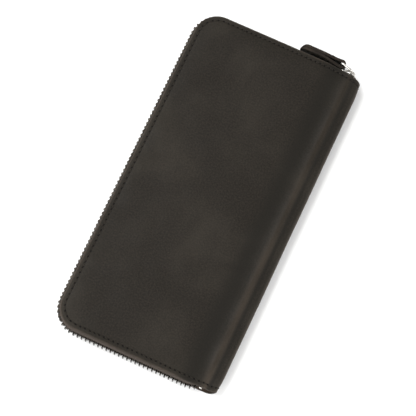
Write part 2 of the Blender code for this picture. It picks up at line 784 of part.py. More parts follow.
def build():
    clear_scene()
    wallet = bpy.data.objects.new("wallet_origin", None)
    wallet["at"] = (0, 0, 0)
    wallet.location = (0, FRAME_Y, 0)
    PARTS.objects.link(wallet)

    back_fold = empty("spine_fold_axis", (FOLD_X, 0, FOLD_AXIS_RISE), wallet)
    front_fold = empty("front_fold_axis", (FOLD_X, 0, THICKNESS - FOLD_AXIS_RISE), back_fold)
    slide = empty("slider_line", (SLIDER_X, SLIDER_Y, MID_Z), wallet)
    ring_axis = empty("ring_axis", (RING_NEAR_X, RING_NEAR_Y, MID_Z), slide)
    tab_axis = empty("tab_axis", (RING_FAR_X, RING_FAR_Y, MID_Z), ring_axis)
    coin_line = empty("coin_slider_line", (COIL_X, COIN_SLIDER_Y, MID_Z), back_fold)
    coin_axis = empty("coin_pull_axis", (coin_pull_x(), COIN_SLIDER_Y, MID_Z), coin_line)

    for side, joint in (("back", wallet), ("front", front_fold)):
        half_layers(side, joint)
        zip_tape(side, joint)
        zip_teeth(side, joint)
    spine(back_fold)
    zip_stops(back_fold)
    coin_compartment(back_fold)
    gussets(back_fold)
    slider_body(slide)
    slider_crown(slide)
    pull_ring(ring_axis)
    pull_tab(tab_axis)
    coin_slider(coin_line)
    coin_pull(coin_axis)


build()
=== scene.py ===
"""Looks of the zip-around long wallet: oiled leather round the spine, saddle stitching, a
metal zip on woven tape, a folded leather pull, the inside, and a plain studio."""

import math

import bmesh
import bpy
import numpy as np
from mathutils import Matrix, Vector


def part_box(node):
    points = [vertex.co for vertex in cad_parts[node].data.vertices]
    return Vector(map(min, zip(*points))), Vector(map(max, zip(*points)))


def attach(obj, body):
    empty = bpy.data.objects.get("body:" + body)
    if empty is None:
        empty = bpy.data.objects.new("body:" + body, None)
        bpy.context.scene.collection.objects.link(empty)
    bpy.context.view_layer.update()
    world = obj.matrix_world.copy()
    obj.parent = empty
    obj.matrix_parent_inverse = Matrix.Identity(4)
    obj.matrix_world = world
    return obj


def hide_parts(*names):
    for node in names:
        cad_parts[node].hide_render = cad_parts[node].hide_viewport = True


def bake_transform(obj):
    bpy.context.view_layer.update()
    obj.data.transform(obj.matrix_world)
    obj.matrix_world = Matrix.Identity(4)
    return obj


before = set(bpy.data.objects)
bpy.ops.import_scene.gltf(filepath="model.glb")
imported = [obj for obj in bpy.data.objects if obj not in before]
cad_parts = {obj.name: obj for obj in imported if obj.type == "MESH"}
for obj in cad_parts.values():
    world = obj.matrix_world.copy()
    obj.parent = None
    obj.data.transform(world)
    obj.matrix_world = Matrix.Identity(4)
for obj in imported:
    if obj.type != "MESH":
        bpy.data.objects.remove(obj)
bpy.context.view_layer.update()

MM = 0.001

# ---------------------------------------------------------------- places taken from the frame
COVER_LOW, COVER_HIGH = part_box("front_cover")
TEETH_LOW, TEETH_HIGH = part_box("back_zip_teeth")
TAPE_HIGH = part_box("back_zip_tape")[1]
SLIDER_LOW, SLIDER_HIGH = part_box("slider_body")
CROWN_LOW, CROWN_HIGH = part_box("slider_crown")
RING_LOW, RING_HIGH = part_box("pull_ring")
TAB_LOW, TAB_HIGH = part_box("pull_tab")
SPINE_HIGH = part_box("spine_cover")[1]
LINING_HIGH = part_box("back_lining")[1]

TOP_Z = COVER_HIGH[2]
MID_Z = TOP_Z / 2
MID_Y = (COVER_LOW[1] + COVER_HIGH[1]) / 2
HALF_Y = (COVER_HIGH[1] - COVER_LOW[1]) / 2
COVER_X = COVER_LOW[0]
SPINE_X = SPINE_HIGH[0]
FOLD_X = SPINE_X - MID_Z
TOOTH_DEPTH = 2.4 * MM
WALL_X = TEETH_LOW[0] + TOOTH_DEPTH / 2
WALL_HALF_Y = (TEETH_HIGH[1] - TEETH_LOW[1] - TOOTH_DEPTH) / 2

# ---------------------------------------------------------------- sizes
CORNER = 13 * MM
LEATHER = 1.4 * MM
CORNER_ROWS = 26
TAPER_START = FOLD_X - 16 * MM
TAPER_HEAD = 1.4 * MM
TAPER_FOOT = 0.3 * MM
SPINE_ROUND_HEAD = 1.2 * MM
SPINE_ROUND_FOOT = 1.5 * MM
DRAW_IN = 1.8 * MM
DRAW_FOOT_X = (31 * MM, 39.5 * MM)
DRAW_HEAD_X = (26 * MM, 34.2 * MM)
STITCH_INSET = 2.6 * MM
STITCH_PITCH = 3.2 * MM
STITCH_CLOSER = 1.16  # the stitches sit this much closer together along the short sides
CREASE_INSET = 0.95 * MM
THREAD_R = 0.25 * MM
TOOTH_PITCH = 2.43 * MM
TOOTH_WIDTH = 1.05 * MM

# Colours, linear
LEATHER_DARK = (0.0076, 0.0067, 0.0050)
LEATHER_LIGHT = (0.0157, 0.0138, 0.0105)
# Paler brown of pull-up leather where it is bent or rubbed, also laid on as a painted highlight along
# the ridge, the spine's rim and the cover's edge
LEATHER_PULLED_AND_HIGHLIGHT = (0.0560, 0.0435, 0.0335)
# Painted shade inside each stitch hole
STITCH_HOLE_SHADE = (0.0016, 0.0012, 0.0010)
CUT_DARK = (0.0090, 0.0066, 0.0050)
CUT_LIGHT = (0.0260, 0.0195, 0.0145)
FLESH_DARK = (0.0620, 0.0450, 0.0330)
FLESH_LIGHT = (0.075, 0.055, 0.040)
INNER_DARK = (0.0330, 0.0230, 0.0165)
INNER_LIGHT = (0.0520, 0.0370, 0.0270)
TWILL_DARK = (0.016, 0.014, 0.012)
TWILL_LIGHT = (0.035, 0.030, 0.026)
THREAD_DARK = (0.0110, 0.0090, 0.0068)
THREAD_LIGHT = (0.020, 0.0165, 0.0125)
TAPE_DARK = (0.0260, 0.0200, 0.0155)
TAPE_LIGHT = (0.050, 0.038, 0.030)
COIL_DARK = (0.014, 0.012, 0.011)
COIL_LIGHT = (0.030, 0.027, 0.024)
NICKEL = (0.640, 0.625, 0.590)
NICKEL_DULL = (0.50, 0.48, 0.45)
# Teeth nickel painted near-black: a painted dark reflection standing in for the dark surroundings the
# teeth mirror
TOOTH_NICKEL = (0.042, 0.037, 0.031)
TOOTH_DULL = (0.018, 0.015, 0.012)
BOARD_LIGHT = (0.35, 0.31, 0.25)
BOARD_DARK = (0.24, 0.20, 0.15)
FLOOR_DARK = (0.86, 0.86, 0.855)
FLOOR_LIGHT = (0.88, 0.88, 0.875)

# Shape of the painted shade in the hole between two stitches: drawn out along the seam, and slanted
HOLE_STRETCH = 1.7
HOLE_SLANT = 0.35


# ================================================================ material helpers
class Tree:
    """Short calls for building one material's nodes."""

    def __init__(self, name):
        self.material = bpy.data.materials.new(name)
        self.material.use_nodes = True
        self.tree = self.material.node_tree
        self.shader = self.tree.nodes["Principled BSDF"]

    def put(self, socket, value):
        """Links a socket, or sets its constant."""
        if isinstance(value, bpy.types.NodeSocket):
            self.tree.links.new(value, socket)
        else:
            socket.default_value = value

    def node(self, kind, inputs, **settings):
        """The outputs of a new node; inputs are linked or set, by name or by number."""
        node = self.tree.nodes.new("ShaderNode" + kind)
        for name, value in settings.items():
            setattr(node, name, value)
        for key, value in inputs.items():
            self.put(node.inputs[key], value)
        return node.outputs

    def math(self, operation, a, b=0.0):
        return self.node("Math", {0: a, 1: b}, operation=operation)[0]

    def plus(self, a, b):
        return self.math("ADD", a, b)

    def minus(self, a, b):
        return self.math("SUBTRACT", a, b)

    def times(self, a, b):
        return self.math("MULTIPLY", a, b)

    def remap(self, value, low, high, to_low=0.0, to_high=1.0):
        """A value eased from one range into another, and held at the ends."""
        inputs = {"Value": value, "From Min": low, "From Max": high}
        inputs |= {"To Min": to_low, "To Max": to_high}
        return self.node("MapRange", inputs, interpolation_type="SMOOTHSTEP")["Result"]

    def mix(self, factor, a, b):
        """Colour a where the factor is 0 and colour b where it is 1."""
        a, b = ((*value, 1.0) if isinstance(value, tuple) else value for value in (a, b))
        return self.node("Mix", {0: factor, 6: a, 7: b}, data_type="RGBA")[2]

    def stretch(self, vector, scale):
        return self.node("Mapping", {"Vector": vector, "Scale": scale})["Vector"]

    def noise(self, vector, scale, detail=3.0, roughness=0.55, distortion=0.0):
        inputs = {"Vector": vector, "Scale": scale, "Detail": detail}
        inputs |= {"Roughness": roughness, "Distortion": distortion}
        return self.node("TexNoise", inputs)["Fac"]

    def cells(self, vector, scale, feature="F1", **smoothness):
        """Distance from the middle of the nearest random cell."""
        inputs = {"Vector": vector, "Scale": scale, **smoothness}
        return self.node("TexVoronoi", inputs, feature=feature)["Distance"]

    def bump(self, height, distance, strength=1.0, below=None):
        """A normal bent by a height, on top of another bump where one is given."""
        inputs = {"Strength": strength, "Distance": distance, "Height": height}
        if below is not None:
            inputs["Normal"] = below
        return self.node("Bump", inputs)["Normal"]

    def uv(self, name):
        return self.node("UVMap", {}, uv_map=name)["UV"]

    def local(self):
        return self.node("TexCoord", {})["Object"]

    def split(self, vector):
        return self.node("SeparateXYZ", {0: vector})

    def finish(self, colour, roughness, normal=None, metallic=0.0, specular=0.5):
        """The finished material."""
        inputs = {"Base Color": colour, "Roughness": roughness}
        inputs |= {"Metallic": metallic, "Specular IOR Level": specular}
        if normal is not None:
            inputs["Normal"] = normal
        for name, value in inputs.items():
            self.put(self.shader.inputs[name], value)
        return self.material


def leather_grain(tree, vector):
    """Fine pebbled grain with pores and soft creases: one height."""
    pebbles = tree.remap(tree.cells(vector, 1250, "SMOOTH_F1", Smoothness=0.35), 0.0, 0.75)
    bent = tree.noise(vector, 420, 4.0, 0.6, 0.6)
    pores = tree.remap(tree.cells(vector, 760), 0.02, 0.16)
    height = tree.plus(tree.times(pebbles, -0.45), tree.times(bent, 0.9))
    return tree.plus(height, tree.times(pores, 0.25))


def outer_leather_material():
    """Oiled pull-up leather: mottled; paler where it is bent and along its edge, partly pull-up colour
    and partly painted highlight; painted shade in bands across the cover, and painted shade with a dent
    in each stitch hole.
    """
    tree = Tree("oiled_leather")
    sheet = tree.uv("sheet")
    along, edge = tree.split(tree.uv("stitch"))[:2]
    across, length = tree.split(sheet)[:2]

    cloud = tree.remap(tree.noise(sheet, 26, 3.0, 0.5, 0.4), 0.38, 0.68)
    streak = tree.noise(tree.stretch(sheet, (1.0, 0.35, 1.0)), 90, 4.0, 0.6, 0.8)
    blotch = tree.times(cloud, tree.remap(streak, 0.30, 0.72, 0.55, 1.0))
    colour = tree.mix(blotch, LEATHER_DARK, LEATHER_LIGHT)
    fine = tree.noise(sheet, 1100, 3.0, 0.7)
    colour = tree.mix(tree.remap(fine, 0.3, 0.75, 0.0, 0.22), colour, LEATHER_PULLED_AND_HIGHLIGHT)

    patchy = tree.remap(tree.noise(tree.stretch(sheet, (1.0, 0.25, 1.0)), 160, 4.0), 0.3, 0.7, 0.45, 1.0)
    # Paler bands along the ridge and the spine's rim: partly pull-up colour where the leather bends,
    # partly a painted highlight, the ridge's band stronger at the foot
    for centre, width, at_foot, at_head in PULLED_AND_HIGHLIT_BANDS:
        away = tree.math("ABSOLUTE", tree.minus(across, centre))
        amount = tree.remap(length, -HALF_Y, HALF_Y, at_foot, at_head)
        band = tree.times(tree.remap(away, 0.0, width, 1.0, 0.0), amount)
        band = tree.times(band, patchy)
        colour = tree.mix(band, colour, LEATHER_PULLED_AND_HIGHLIGHT)
    # The cover's rim is paler: partly rubbed wear, partly a painted highlight along its rounded edge
    rubbed_and_highlit = tree.times(tree.remap(edge, 0.25 * MM, 1.1 * MM, 0.55, 0.0), patchy)
    colour = tree.mix(rubbed_and_highlit, colour, LEATHER_PULLED_AND_HIGHLIGHT)

    # Painted shade on the slope before the ridge and in the hollow before the spine's rim
    for centre, width, amount in PAINTED_SHADE_BANDS:
        away = tree.math("ABSOLUTE", tree.minus(across, centre))
        colour = tree.mix(tree.remap(away, 0.0, width, amount, 0.0), colour, LEATHER_DARK)

    # Painted shade in each stitch hole, with a dent in the bump
    turn = tree.math("FRACT", tree.plus(tree.math("DIVIDE", along, STITCH_PITCH), 0.5))
    from_hole = tree.times(tree.minus(turn, 0.5), STITCH_PITCH / HOLE_STRETCH)
    slant = tree.times(from_hole, HOLE_SLANT)
    off_line = tree.minus(tree.minus(edge, STITCH_INSET), slant)
    square = tree.plus(tree.math("POWER", from_hole, 2.0), tree.math("POWER", off_line, 2.0))
    hole = tree.remap(tree.math("SQRT", square), 0.28 * MM, 0.46 * MM, 1.0, 0.0)
    colour = tree.mix(hole, colour, STITCH_HOLE_SHADE)

    normal = tree.bump(leather_grain(tree, sheet), 0.10 * MM, 0.55)
    normal = tree.bump(tree.times(hole, -1.0), 0.45 * MM, 1.0, normal)
    roughness = tree.remap(tree.noise(sheet, 60, 4.0), 0.3, 0.7, 0.48, 0.62)
    return tree.finish(colour, roughness, normal, specular=0.08)


def plain_leather_material(name, dark, light, rough, grain):
    """Leather without the outer sheet's maps, for linings, pockets and the pull."""
    tree = Tree(name)
    place = tree.local()
    cloud = tree.remap(tree.noise(place, 55, 4.0, 0.55, 0.4), 0.34, 0.68)
    colour = tree.mix(cloud, dark, light)
    normal = tree.bump(leather_grain(tree, place), 0.10 * MM, grain)
    roughness = tree.remap(tree.noise(place, 140, 3.0), 0.3, 0.7, rough - 0.07, rough + 0.07)
    return tree.finish(colour, roughness, normal, specular=0.12)


def cut_edge_material():
    """The burnished cut edge: fibres in layers along the edge."""
    tree = Tree("cut_leather_edge")
    place = tree.local()
    layers = tree.noise(tree.stretch(place, (0.15, 0.15, 6.0)), 700, 4.0, 0.7)
    colour = tree.mix(tree.remap(layers, 0.3, 0.7), CUT_DARK, CUT_LIGHT)
    normal = tree.bump(layers, 0.08 * MM, 0.6)
    return tree.finish(colour, 0.65, normal, specular=0.10)


def woven_material(name, dark, light, pitch):
    """A twill weave: two sets of ribs that pass over each other."""
    tree = Tree(name)
    place = tree.local()
    x, y, z = tree.split(place)[:3]
    warp = tree.math("SINE", tree.times(tree.plus(x, y), 2 * math.pi / pitch))
    weft = tree.math("SINE", tree.times(tree.minus(z, y), 2 * math.pi / pitch))
    weave = tree.times(warp, weft)
    fuzz = tree.noise(place, 2600, 2.0, 0.7)
    shade = tree.remap(tree.plus(weave, fuzz), -0.6, 1.5)
    normal = tree.bump(tree.plus(weave, tree.times(fuzz, 0.6)), 0.08 * MM, 0.7)
    return tree.finish(tree.mix(shade, dark, light), 0.85, normal, specular=0.25)


def thread_material():
    """Waxed twisted thread."""
    tree = Tree("waxed_thread")
    twist = tree.noise(tree.local(), 2400, 2.0, 0.6)
    colour = tree.mix(tree.remap(twist, 0.3, 0.7), THREAD_DARK, THREAD_LIGHT)
    return tree.finish(colour, 0.65, tree.bump(twist, 0.06 * MM, 0.8), specular=0.12)


def metal_material(name, bright, dull):
    """Nickel plate with faint handling marks."""
    tree = Tree(name)
    place = tree.local()
    marks = tree.noise(tree.stretch(place, (1.0, 4.0, 1.0)), 900, 4.0, 0.65)
    cloud = tree.noise(place, 300, 3.0)
    colour = tree.mix(tree.remap(cloud, 0.3, 0.7), bright, dull)
    roughness = tree.remap(marks, 0.3, 0.75, 0.17, 0.34)
    return tree.finish(colour, roughness, tree.bump(marks, 0.01 * MM, 0.4), metallic=1.0)


def coil_material():
    """Moulded nylon of the coil zip."""
    tree = Tree("moulded_coil")
    cloud = tree.noise(tree.local(), 800, 3.0)
    colour = tree.mix(cloud, COIL_DARK, COIL_LIGHT)
    return tree.finish(colour, 0.42, tree.bump(cloud, 0.03 * MM, 0.5), specular=0.5)


def board_material():
    """Pressed fibre board, with its fibres along the wallet."""
    tree = Tree("fibre_board")
    fibres = tree.noise(tree.stretch(tree.local(), (1.0, 0.3, 1.0)), 500, 5.0, 0.7)
    colour = tree.mix(fibres, BOARD_LIGHT, BOARD_DARK)
    return tree.finish(colour, 0.95, tree.bump(fibres, 0.1 * MM, 0.5), specular=0.2)


def floor_material():
    """Pale paper, very slightly uneven."""
    tree = Tree("pale_floor")
    cloud = tree.noise(tree.local(), 3.0, 2.0)
    colour = tree.mix(tree.remap(cloud, 0.3, 0.7), FLOOR_DARK, FLOOR_LIGHT)
    return tree.finish(colour, 0.75, specular=0.2)


# ================================================================ mesh helpers
def mesh_piece(name, verts, faces, materials, face_slots=None, sharp_deg=40):
    """A mesh object from points and faces, faces turned outwards and smooth between creases."""
    mesh = bpy.data.meshes.new(name)
    mesh.from_pydata([tuple(v) for v in verts], [], [tuple(f) for f in faces])
    form = bmesh.new()
    form.from_mesh(mesh)
    bmesh.ops.recalc_face_normals(form, faces=form.faces)
    form.to_mesh(mesh)
    form.free()
    for finish in materials:
        mesh.materials.append(finish)
    if face_slots is not None:
        mesh.polygons.foreach_set("material_index", np.array(face_slots, np.int32))
    mesh.shade_smooth()
    mesh.set_sharp_from_angle(angle=math.radians(sharp_deg))
    piece = bpy.data.objects.new(name, mesh)
    bpy.context.scene.collection.objects.link(piece)
    return piece


def add_map(piece, name, values):
    """A UV map from one pair of values for each vertex."""
    mesh = piece.data
    layer = mesh.uv_layers.new(name=name)
    corners = np.empty(len(mesh.loops), np.int32)
    mesh.loops.foreach_get("vertex_index", corners)
    layer.data.foreach_set("uv", np.asarray(values, np.float32)[corners].ravel())


def smooth_line(points, step):
    """Points about `step` apart on a smooth curve; the first and last points are only aims."""
    knots = np.array(points, float)
    runs = []
    for a, b, c, d in zip(knots, knots[1:], knots[2:], knots[3:]):
        count = max(2, int(np.linalg.norm(c - b) / step))
        t = np.arange(count)[:, None] / count
        cubic = 2 * b + (c - a) * t + (2 * a - 5 * b + 4 * c - d) * t**2
        runs.append(0.5 * (cubic + (3 * b - a - 3 * c + d) * t**3))
    runs.append(knots[-2][None])
    return np.vstack(runs)


def unit(vectors):
    """Vectors made one long."""
    return vectors / np.maximum(np.linalg.norm(vectors, axis=-1, keepdims=True), 1e-12)


def ring_faces(rings, count, closed=False):
    """Faces that join rings of count points: end to end in a loop, or with a cap at each end."""
    faces = []
    for i in range(rings if closed else rings - 1):
        here, there = i * count, (i + 1) % rings * count
        for j in range(count):
            k = (j + 1) % count
            faces.append((here + j, here + k, there + k, there + j))
    if not closed:
        faces.append(tuple(range(count)))
        faces.append(tuple(range((rings - 1) * count, rings * count)))
    return faces


def sweep(path, section, ups, closed=False):
    """Vertices and faces of a section carried along a path. section is a list of (side, up)
    offsets, or a list of such lists, one for each point; ups are the up directions."""
    path = np.asarray(path, float)
    ups = np.broadcast_to(np.asarray(ups, float), path.shape)
    if closed:
        tangent = np.roll(path, -1, 0) - np.roll(path, 1, 0)
    else:
        tangent = np.gradient(path, axis=0)
    tangent = unit(tangent)
    side = unit(np.cross(tangent, ups))
    up = np.cross(side, tangent)
    section = np.asarray(section, float)
    if section.ndim == 2:
        section = np.broadcast_to(section, (len(path), *section.shape))
    verts = path[:, None] + section[..., :1] * side[:, None] + section[..., 1:] * up[:, None]
    return verts.reshape(-1, 3), ring_faces(len(path), section.shape[1], closed)


def circle(radius, sides):
    """A round section, as (side, up) offsets."""
    turn = np.arange(sides) * 2 * math.pi / sides
    return np.column_stack([np.cos(turn) * radius, np.sin(turn) * radius])


def rounded_section(width, height, radius, steps=3):
    """Outline of a rectangle with round corners, round the middle."""
    points = []
    for sx, sy, start in ((1, 1, 0), (-1, 1, 90), (-1, -1, 180), (1, -1, 270)):
        for i in range(steps + 1):
            turn = math.radians(start + 90 * i / steps)
            x = sx * (width / 2 - radius) + radius * math.cos(turn)
            y = sy * (height / 2 - radius) + radius * math.sin(turn)
            points.append((x, y))
    return points


def joined(parts):
    """Several (verts, faces) as one."""
    verts, faces, start = [], [], 0
    for some_verts, some_faces in parts:
        verts.append(np.asarray(some_verts, float))
        faces += [tuple(i + start for i in face) for face in some_faces]
        start += len(some_verts)
    return np.vstack(verts), faces


def solid_form(rings):
    """A bmesh of rings of points with equal counts, joined in order and closed at both ends."""
    form = bmesh.new()
    rings = [[form.verts.new(place) for place in ring] for ring in rings]
    form.faces.new(rings[0])
    form.faces.new(rings[-1])
    for here, there in zip(rings, rings[1:]):
        for i in range(len(here)):
            j = (i + 1) % len(here)
            form.faces.new((here[i], here[j], there[j], there[i]))
    bmesh.ops.recalc_face_normals(form, faces=form.faces)
    return form


def round_edges(form, least_deg, radius, segments):
    """Rounds the edges of a bmesh whose faces turn by more than an angle."""
    sharp = [e for e in form.edges if e.calc_face_angle(0) > math.radians(least_deg)]
    bmesh.ops.bevel(
        form, geom=sharp, offset=radius, segments=segments, profile=0.5, affect="EDGES",
        clamp_overlap=True,
    )


def taken_from(form):
    """The vertices and faces of a bmesh, which is then freed."""
    form.verts.index_update()
    verts = np.array([v.co for v in form.verts])
    faces = [tuple(v.index for v in face.verts) for face in form.faces]
    form.free()
    return verts, faces


def bevelled(outline, low, high, axis, bevel, segments=2):
    """A flat outline extruded along an axis (0 X, 1 Y, 2 Z), with its edges rounded."""
    others = [i for i in range(3) if i != axis]
    rings = []
    for level in (low, high):
        ring = np.empty((len(outline), 3))
        ring[:, axis] = level
        ring[:, others] = outline
        rings.append(ring)
    form = solid_form(rings)
    round_edges(form, 35, bevel, segments)
    return taken_from(form)


def box_form(low, high, bevel, segments=2):
    """A box with rounded edges."""
    outline = ((low[0], low[1]), (high[0], low[1]), (high[0], high[1]), (low[0], high[1]))
    return bevelled(outline, low[2], high[2], 2, bevel, segments)


def two_layer_faces(rows, columns):
    """Faces of a sheet of two equal grids of points: those outside, inside and round the rim."""
    count = rows * columns
    index = np.arange(count).reshape(rows, columns)
    quads = np.stack([index[:-1, :-1], index[1:, :-1], index[1:, 1:], index[:-1, 1:]], -1)
    quads = quads.reshape(-1, 4)
    rim = np.concatenate([index[0, :-1], index[:-1, -1], index[-1, :0:-1], index[:0:-1, 0]])
    after = np.roll(rim, -1)
    return quads, quads + count, np.column_stack([rim, after, after + count, rim + count])


# ================================================================ the outer sheet of leather
# Cross-section of the outside of each half, in (x, z): from the zip side, across the cover and
# round the spine to a seam under the spine's middle. The first and last points are only aims.
SEAM = (SPINE_X - 1.5 * MM, 3.6 * MM)
FRONT_LINE = (
    (COVER_X - 4 * MM, TOP_Z - 0.25 * MM),
    (COVER_X, TOP_Z - 0.20 * MM),
    (COVER_X + 14 * MM, TOP_Z),
    (-8 * MM, TOP_Z + 0.15 * MM),
    (FOLD_X - 24 * MM, TOP_Z - 0.10 * MM),
    (FOLD_X - 13 * MM, TOP_Z - 0.45 * MM),
    (FOLD_X - 6 * MM, TOP_Z - 0.55 * MM),
    (FOLD_X - 3.2 * MM, TOP_Z - 0.36 * MM),
    (FOLD_X - 0.4 * MM, TOP_Z + 0.05 * MM),
    (FOLD_X + 1.6 * MM, TOP_Z - 0.60 * MM),
    (FOLD_X + 3.1 * MM, TOP_Z - 1.75 * MM),
    (FOLD_X + 4.7 * MM, TOP_Z - 2.85 * MM),
    (FOLD_X + 6.4 * MM, TOP_Z - 4.20 * MM),
    (SPINE_X - 0.15 * MM, TOP_Z - 6.0 * MM),
    (SPINE_X - 0.25 * MM, 6.2 * MM),
    SEAM,
    (FOLD_X + 4.0 * MM, 1.6 * MM),
)
BACK_LINE = (
    (COVER_X - 4 * MM, 0.25 * MM),
    (COVER_X, 0.20 * MM),
    (COVER_X + 14 * MM, 0.0),
    (0.0, 0.0),
    (FOLD_X - 18 * MM, 0.0),
    (FOLD_X - 8 * MM, 0.0),
    (FOLD_X - 3 * MM, 0.0),
    (FOLD_X, 0.10 * MM),
    (FOLD_X + 2.2 * MM, 0.55 * MM),
    (FOLD_X + 4.2 * MM, 1.7 * MM),
    SEAM,
    (SPINE_X - 0.25 * MM, 6.2 * MM),
)
# Where the leather is bent and shows paler, partly as pull-up colour and partly as a painted highlight
# (the ridge's band stronger at the foot): distance along the front's line, half width, and the amounts
# at the foot and at the head
PULLED_AND_HIGHLIT_BANDS = (
    (FOLD_X + 0.2 * MM, 3.9 * MM, 0.48, 0.17),
    (FOLD_X + 10.6 * MM, 4.2 * MM, 0.80, 0.80),
)
# Painted shade: darker bands across the cover before the ridge and in the hollow between the ridge and
# the spine's rim: distance along the front's line, half width, and amount
PAINTED_SHADE_BANDS = (
    (FOLD_X - 8.5 * MM, 10 * MM, 0.75),
    (FOLD_X + 3.4 * MM, 2.2 * MM, 0.6),
)


class Profile:
    """One half's cross-section: place and outward direction at a distance along it."""

    def __init__(self, points, outward):
        line = smooth_line(points, 0.25 * MM)
        steps = np.linalg.norm(np.diff(line, axis=0), axis=1)
        self.along = COVER_X + np.concatenate([[0.0], np.cumsum(steps)])
        self.line = line
        tangent = unit(np.gradient(line, axis=0))
        self.out = outward * np.column_stack([-tangent[:, 1], tangent[:, 0]])
        self.end = self.along[-1]

    def at(self, u):
        """(x, z) and outward (x, z) at distances u."""
        place = [np.interp(u, self.along, self.line[:, k]) for k in (0, 1)]
        out = [np.interp(u, self.along, self.out[:, k]) for k in (0, 1)]
        return place, out


def edge_reach(u, x, sign):
    """Half length of the sheet at u, whose place across is x, towards the end that sign names."""
    head = np.asarray(sign) > 0
    share = np.clip((u - TAPER_START) / (FOLD_X - TAPER_START), 0, 1)
    round_share = np.clip((x - FOLD_X) / MID_Z, 0, 1)
    reach = HALF_Y - np.where(head, TAPER_HEAD, TAPER_FOOT) * share**2
    reach = reach - np.where(head, SPINE_ROUND_HEAD, SPINE_ROUND_FOOT) * round_share**3
    in_corner = np.clip(COVER_X + CORNER - u, 0, CORNER)
    return reach - CORNER + np.sqrt(np.maximum(CORNER**2 - in_corner**2, 0))


RIM_R = 0.55 * MM
# Depth, distance from the edge and width of the pinched seam, the stitch groove and the crease
HOLLOWS = (
    (0.62 * MM, 0.0, 5.0 * MM),
    (0.20 * MM, STITCH_INSET, 0.55 * MM),
    (0.10 * MM, CREASE_INSET, 0.22 * MM),
)
UNEVENNESS = 0.09 * MM


def swell(u, y, inset):
    """How far the outside stands off its cross-section: rounded edge, hollows along the
    edge and slow unevenness."""
    near = np.clip(RIM_R - inset, 0, RIM_R)
    height = -(RIM_R - np.sqrt(RIM_R**2 - near**2))
    for depth, place, width in HOLLOWS:
        height -= depth * np.exp(-(((inset - place) / width) ** 2))
    calm = np.clip((inset - 6 * MM) / (15 * MM), 0, 1)
    waves = np.sin(u * 95 + 1.3 + 1.5 * np.sin(y * 31)) * np.sin(y * 57 + 0.7)
    waves += 0.6 * np.sin(u * 61 - y * 44 + 2.1)
    return height + UNEVENNESS * calm * waves


# Distances of the grid's lines from the sheet's ends, in mm
EDGE_STEPS = (
    0, 0.05, 0.14, 0.28, 0.45, 0.62, 0.78, 0.95, 1.12, 1.3, 1.6, 1.9, 2.15, 2.4, 2.6, 2.8, 3.05,
    3.4, 3.9, 4.6, 5.5, 6.8, 8.4, 10.5, 13,
)


class Sheet:
    """One half of the outer leather, as a grid that follows its profile and outline."""

    def __init__(self, points, outward, flat):
        self.profile = Profile(points, outward)
        self.flat = flat

    def reach(self, u, sign):
        """Half length of the sheet at u, towards the end that sign names."""
        (x, _), _ = self.profile.at(u)
        return edge_reach(np.asarray(u, float), x, sign)

    def edge_place(self, u, y):
        """Distance from the edge, and distance along the stitch line, of points on the sheet."""
        centre_u, centre_y = COVER_X + CORNER, HALF_Y - CORNER
        above = np.abs(y) - centre_y
        left = centre_u - u
        corner = (left > 0) & (above > 0)
        straight = np.minimum(u - COVER_X, self.reach(u, y) - np.abs(y))
        inset = np.where(corner, CORNER - np.hypot(left, above), straight)
        bend = CORNER - STITCH_INSET
        turn = np.arctan2(np.maximum(above, 0), np.maximum(left, 1e-9))
        along = np.where(above <= 0, np.abs(y), centre_y + turn * bend)
        short = (left <= 0) & (inset < u - COVER_X)
        along = np.where(short, centre_y + bend * math.pi / 2 - left * STITCH_CLOSER, along)
        return inset, along * np.where(y < 0, -1, 1)

    def stitch_place(self, along):
        """(u, y) of a place on the stitch line."""
        centre_u, centre_y = COVER_X + CORNER, HALF_Y - CORNER
        bend = CORNER - STITCH_INSET
        size, sign = abs(along), math.copysign(1, along)
        if size < centre_y:
            return COVER_X + STITCH_INSET, along
        turn = (size - centre_y) / bend
        if turn < math.pi / 2:
            return centre_u - bend * math.cos(turn), sign * (centre_y + bend * math.sin(turn))
        u = centre_u + (size - centre_y - bend * math.pi / 2) / STITCH_CLOSER
        return u, sign * (float(self.reach(u, sign)) - STITCH_INSET)

    def point(self, u, y, lift=0.0):
        """World places on the outside, moved outwards by lift."""
        u, y = np.asarray(u, float), np.asarray(y, float)
        (x, z), (ox, oz) = self.profile.at(u)
        inset, _ = self.edge_place(u, y)
        height = swell(u, y, inset)
        if self.flat:
            calm = np.clip((inset - 5 * MM) / (6 * MM), 0, 1)
            height = height * (1 - calm)
        height = height + lift
        return np.stack([x + ox * height, y + MID_Y, z + oz * height], -1)

    def grid(self):
        """Rows across the wallet and columns along it, closest together at the edges."""
        turn = np.linspace(0, math.pi / 2, CORNER_ROWS)
        corner = COVER_X + CORNER * (1 - np.cos(turn))
        middle = np.arange(corner[-1] + 2.5 * MM, TAPER_START, 2.5 * MM)
        spine = np.linspace(TAPER_START, self.profile.end, 62)
        rows = np.concatenate([corner, middle, spine])
        insets = np.array(EDGE_STEPS) * MM
        upper, lower = self.reach(rows, 1), -self.reach(rows, -1)
        share = np.linspace(0, 1, 64)[1:-1]
        low_end = lower[:, None] + insets
        high_end = upper[:, None] - insets[::-1]
        inside = low_end[:, -1:] + (high_end[:, :1] - low_end[:, -1:]) * share
        y = np.hstack([low_end, inside, high_end])
        return np.repeat(rows[:, None], y.shape[1], 1), y

    def build(self, name, materials):
        """The sheet as a mesh object with its thickness and its two maps; the materials are for
        its outside, its rim and its inside."""
        u, y = self.grid()
        inset, along = self.edge_place(u, y)
        thick = LEATHER - 0.35 * MM * np.exp(-((inset / (4 * MM)) ** 2))
        verts = np.vstack([self.point(u, y, lift).reshape(-1, 3) for lift in (0.0, -thick)])
        outside, inside, rim = two_layer_faces(*u.shape)
        slots = [0] * len(outside) + [2] * len(inside) + [1] * len(rim)
        piece = mesh_piece(name, verts, np.vstack([outside, inside, rim]), materials, slots)
        for label, values in (("sheet", (u, y)), ("stitch", (along, inset))):
            flat_map = np.column_stack([value.ravel() for value in values])
            add_map(piece, label, np.vstack([flat_map, flat_map]))
        return piece


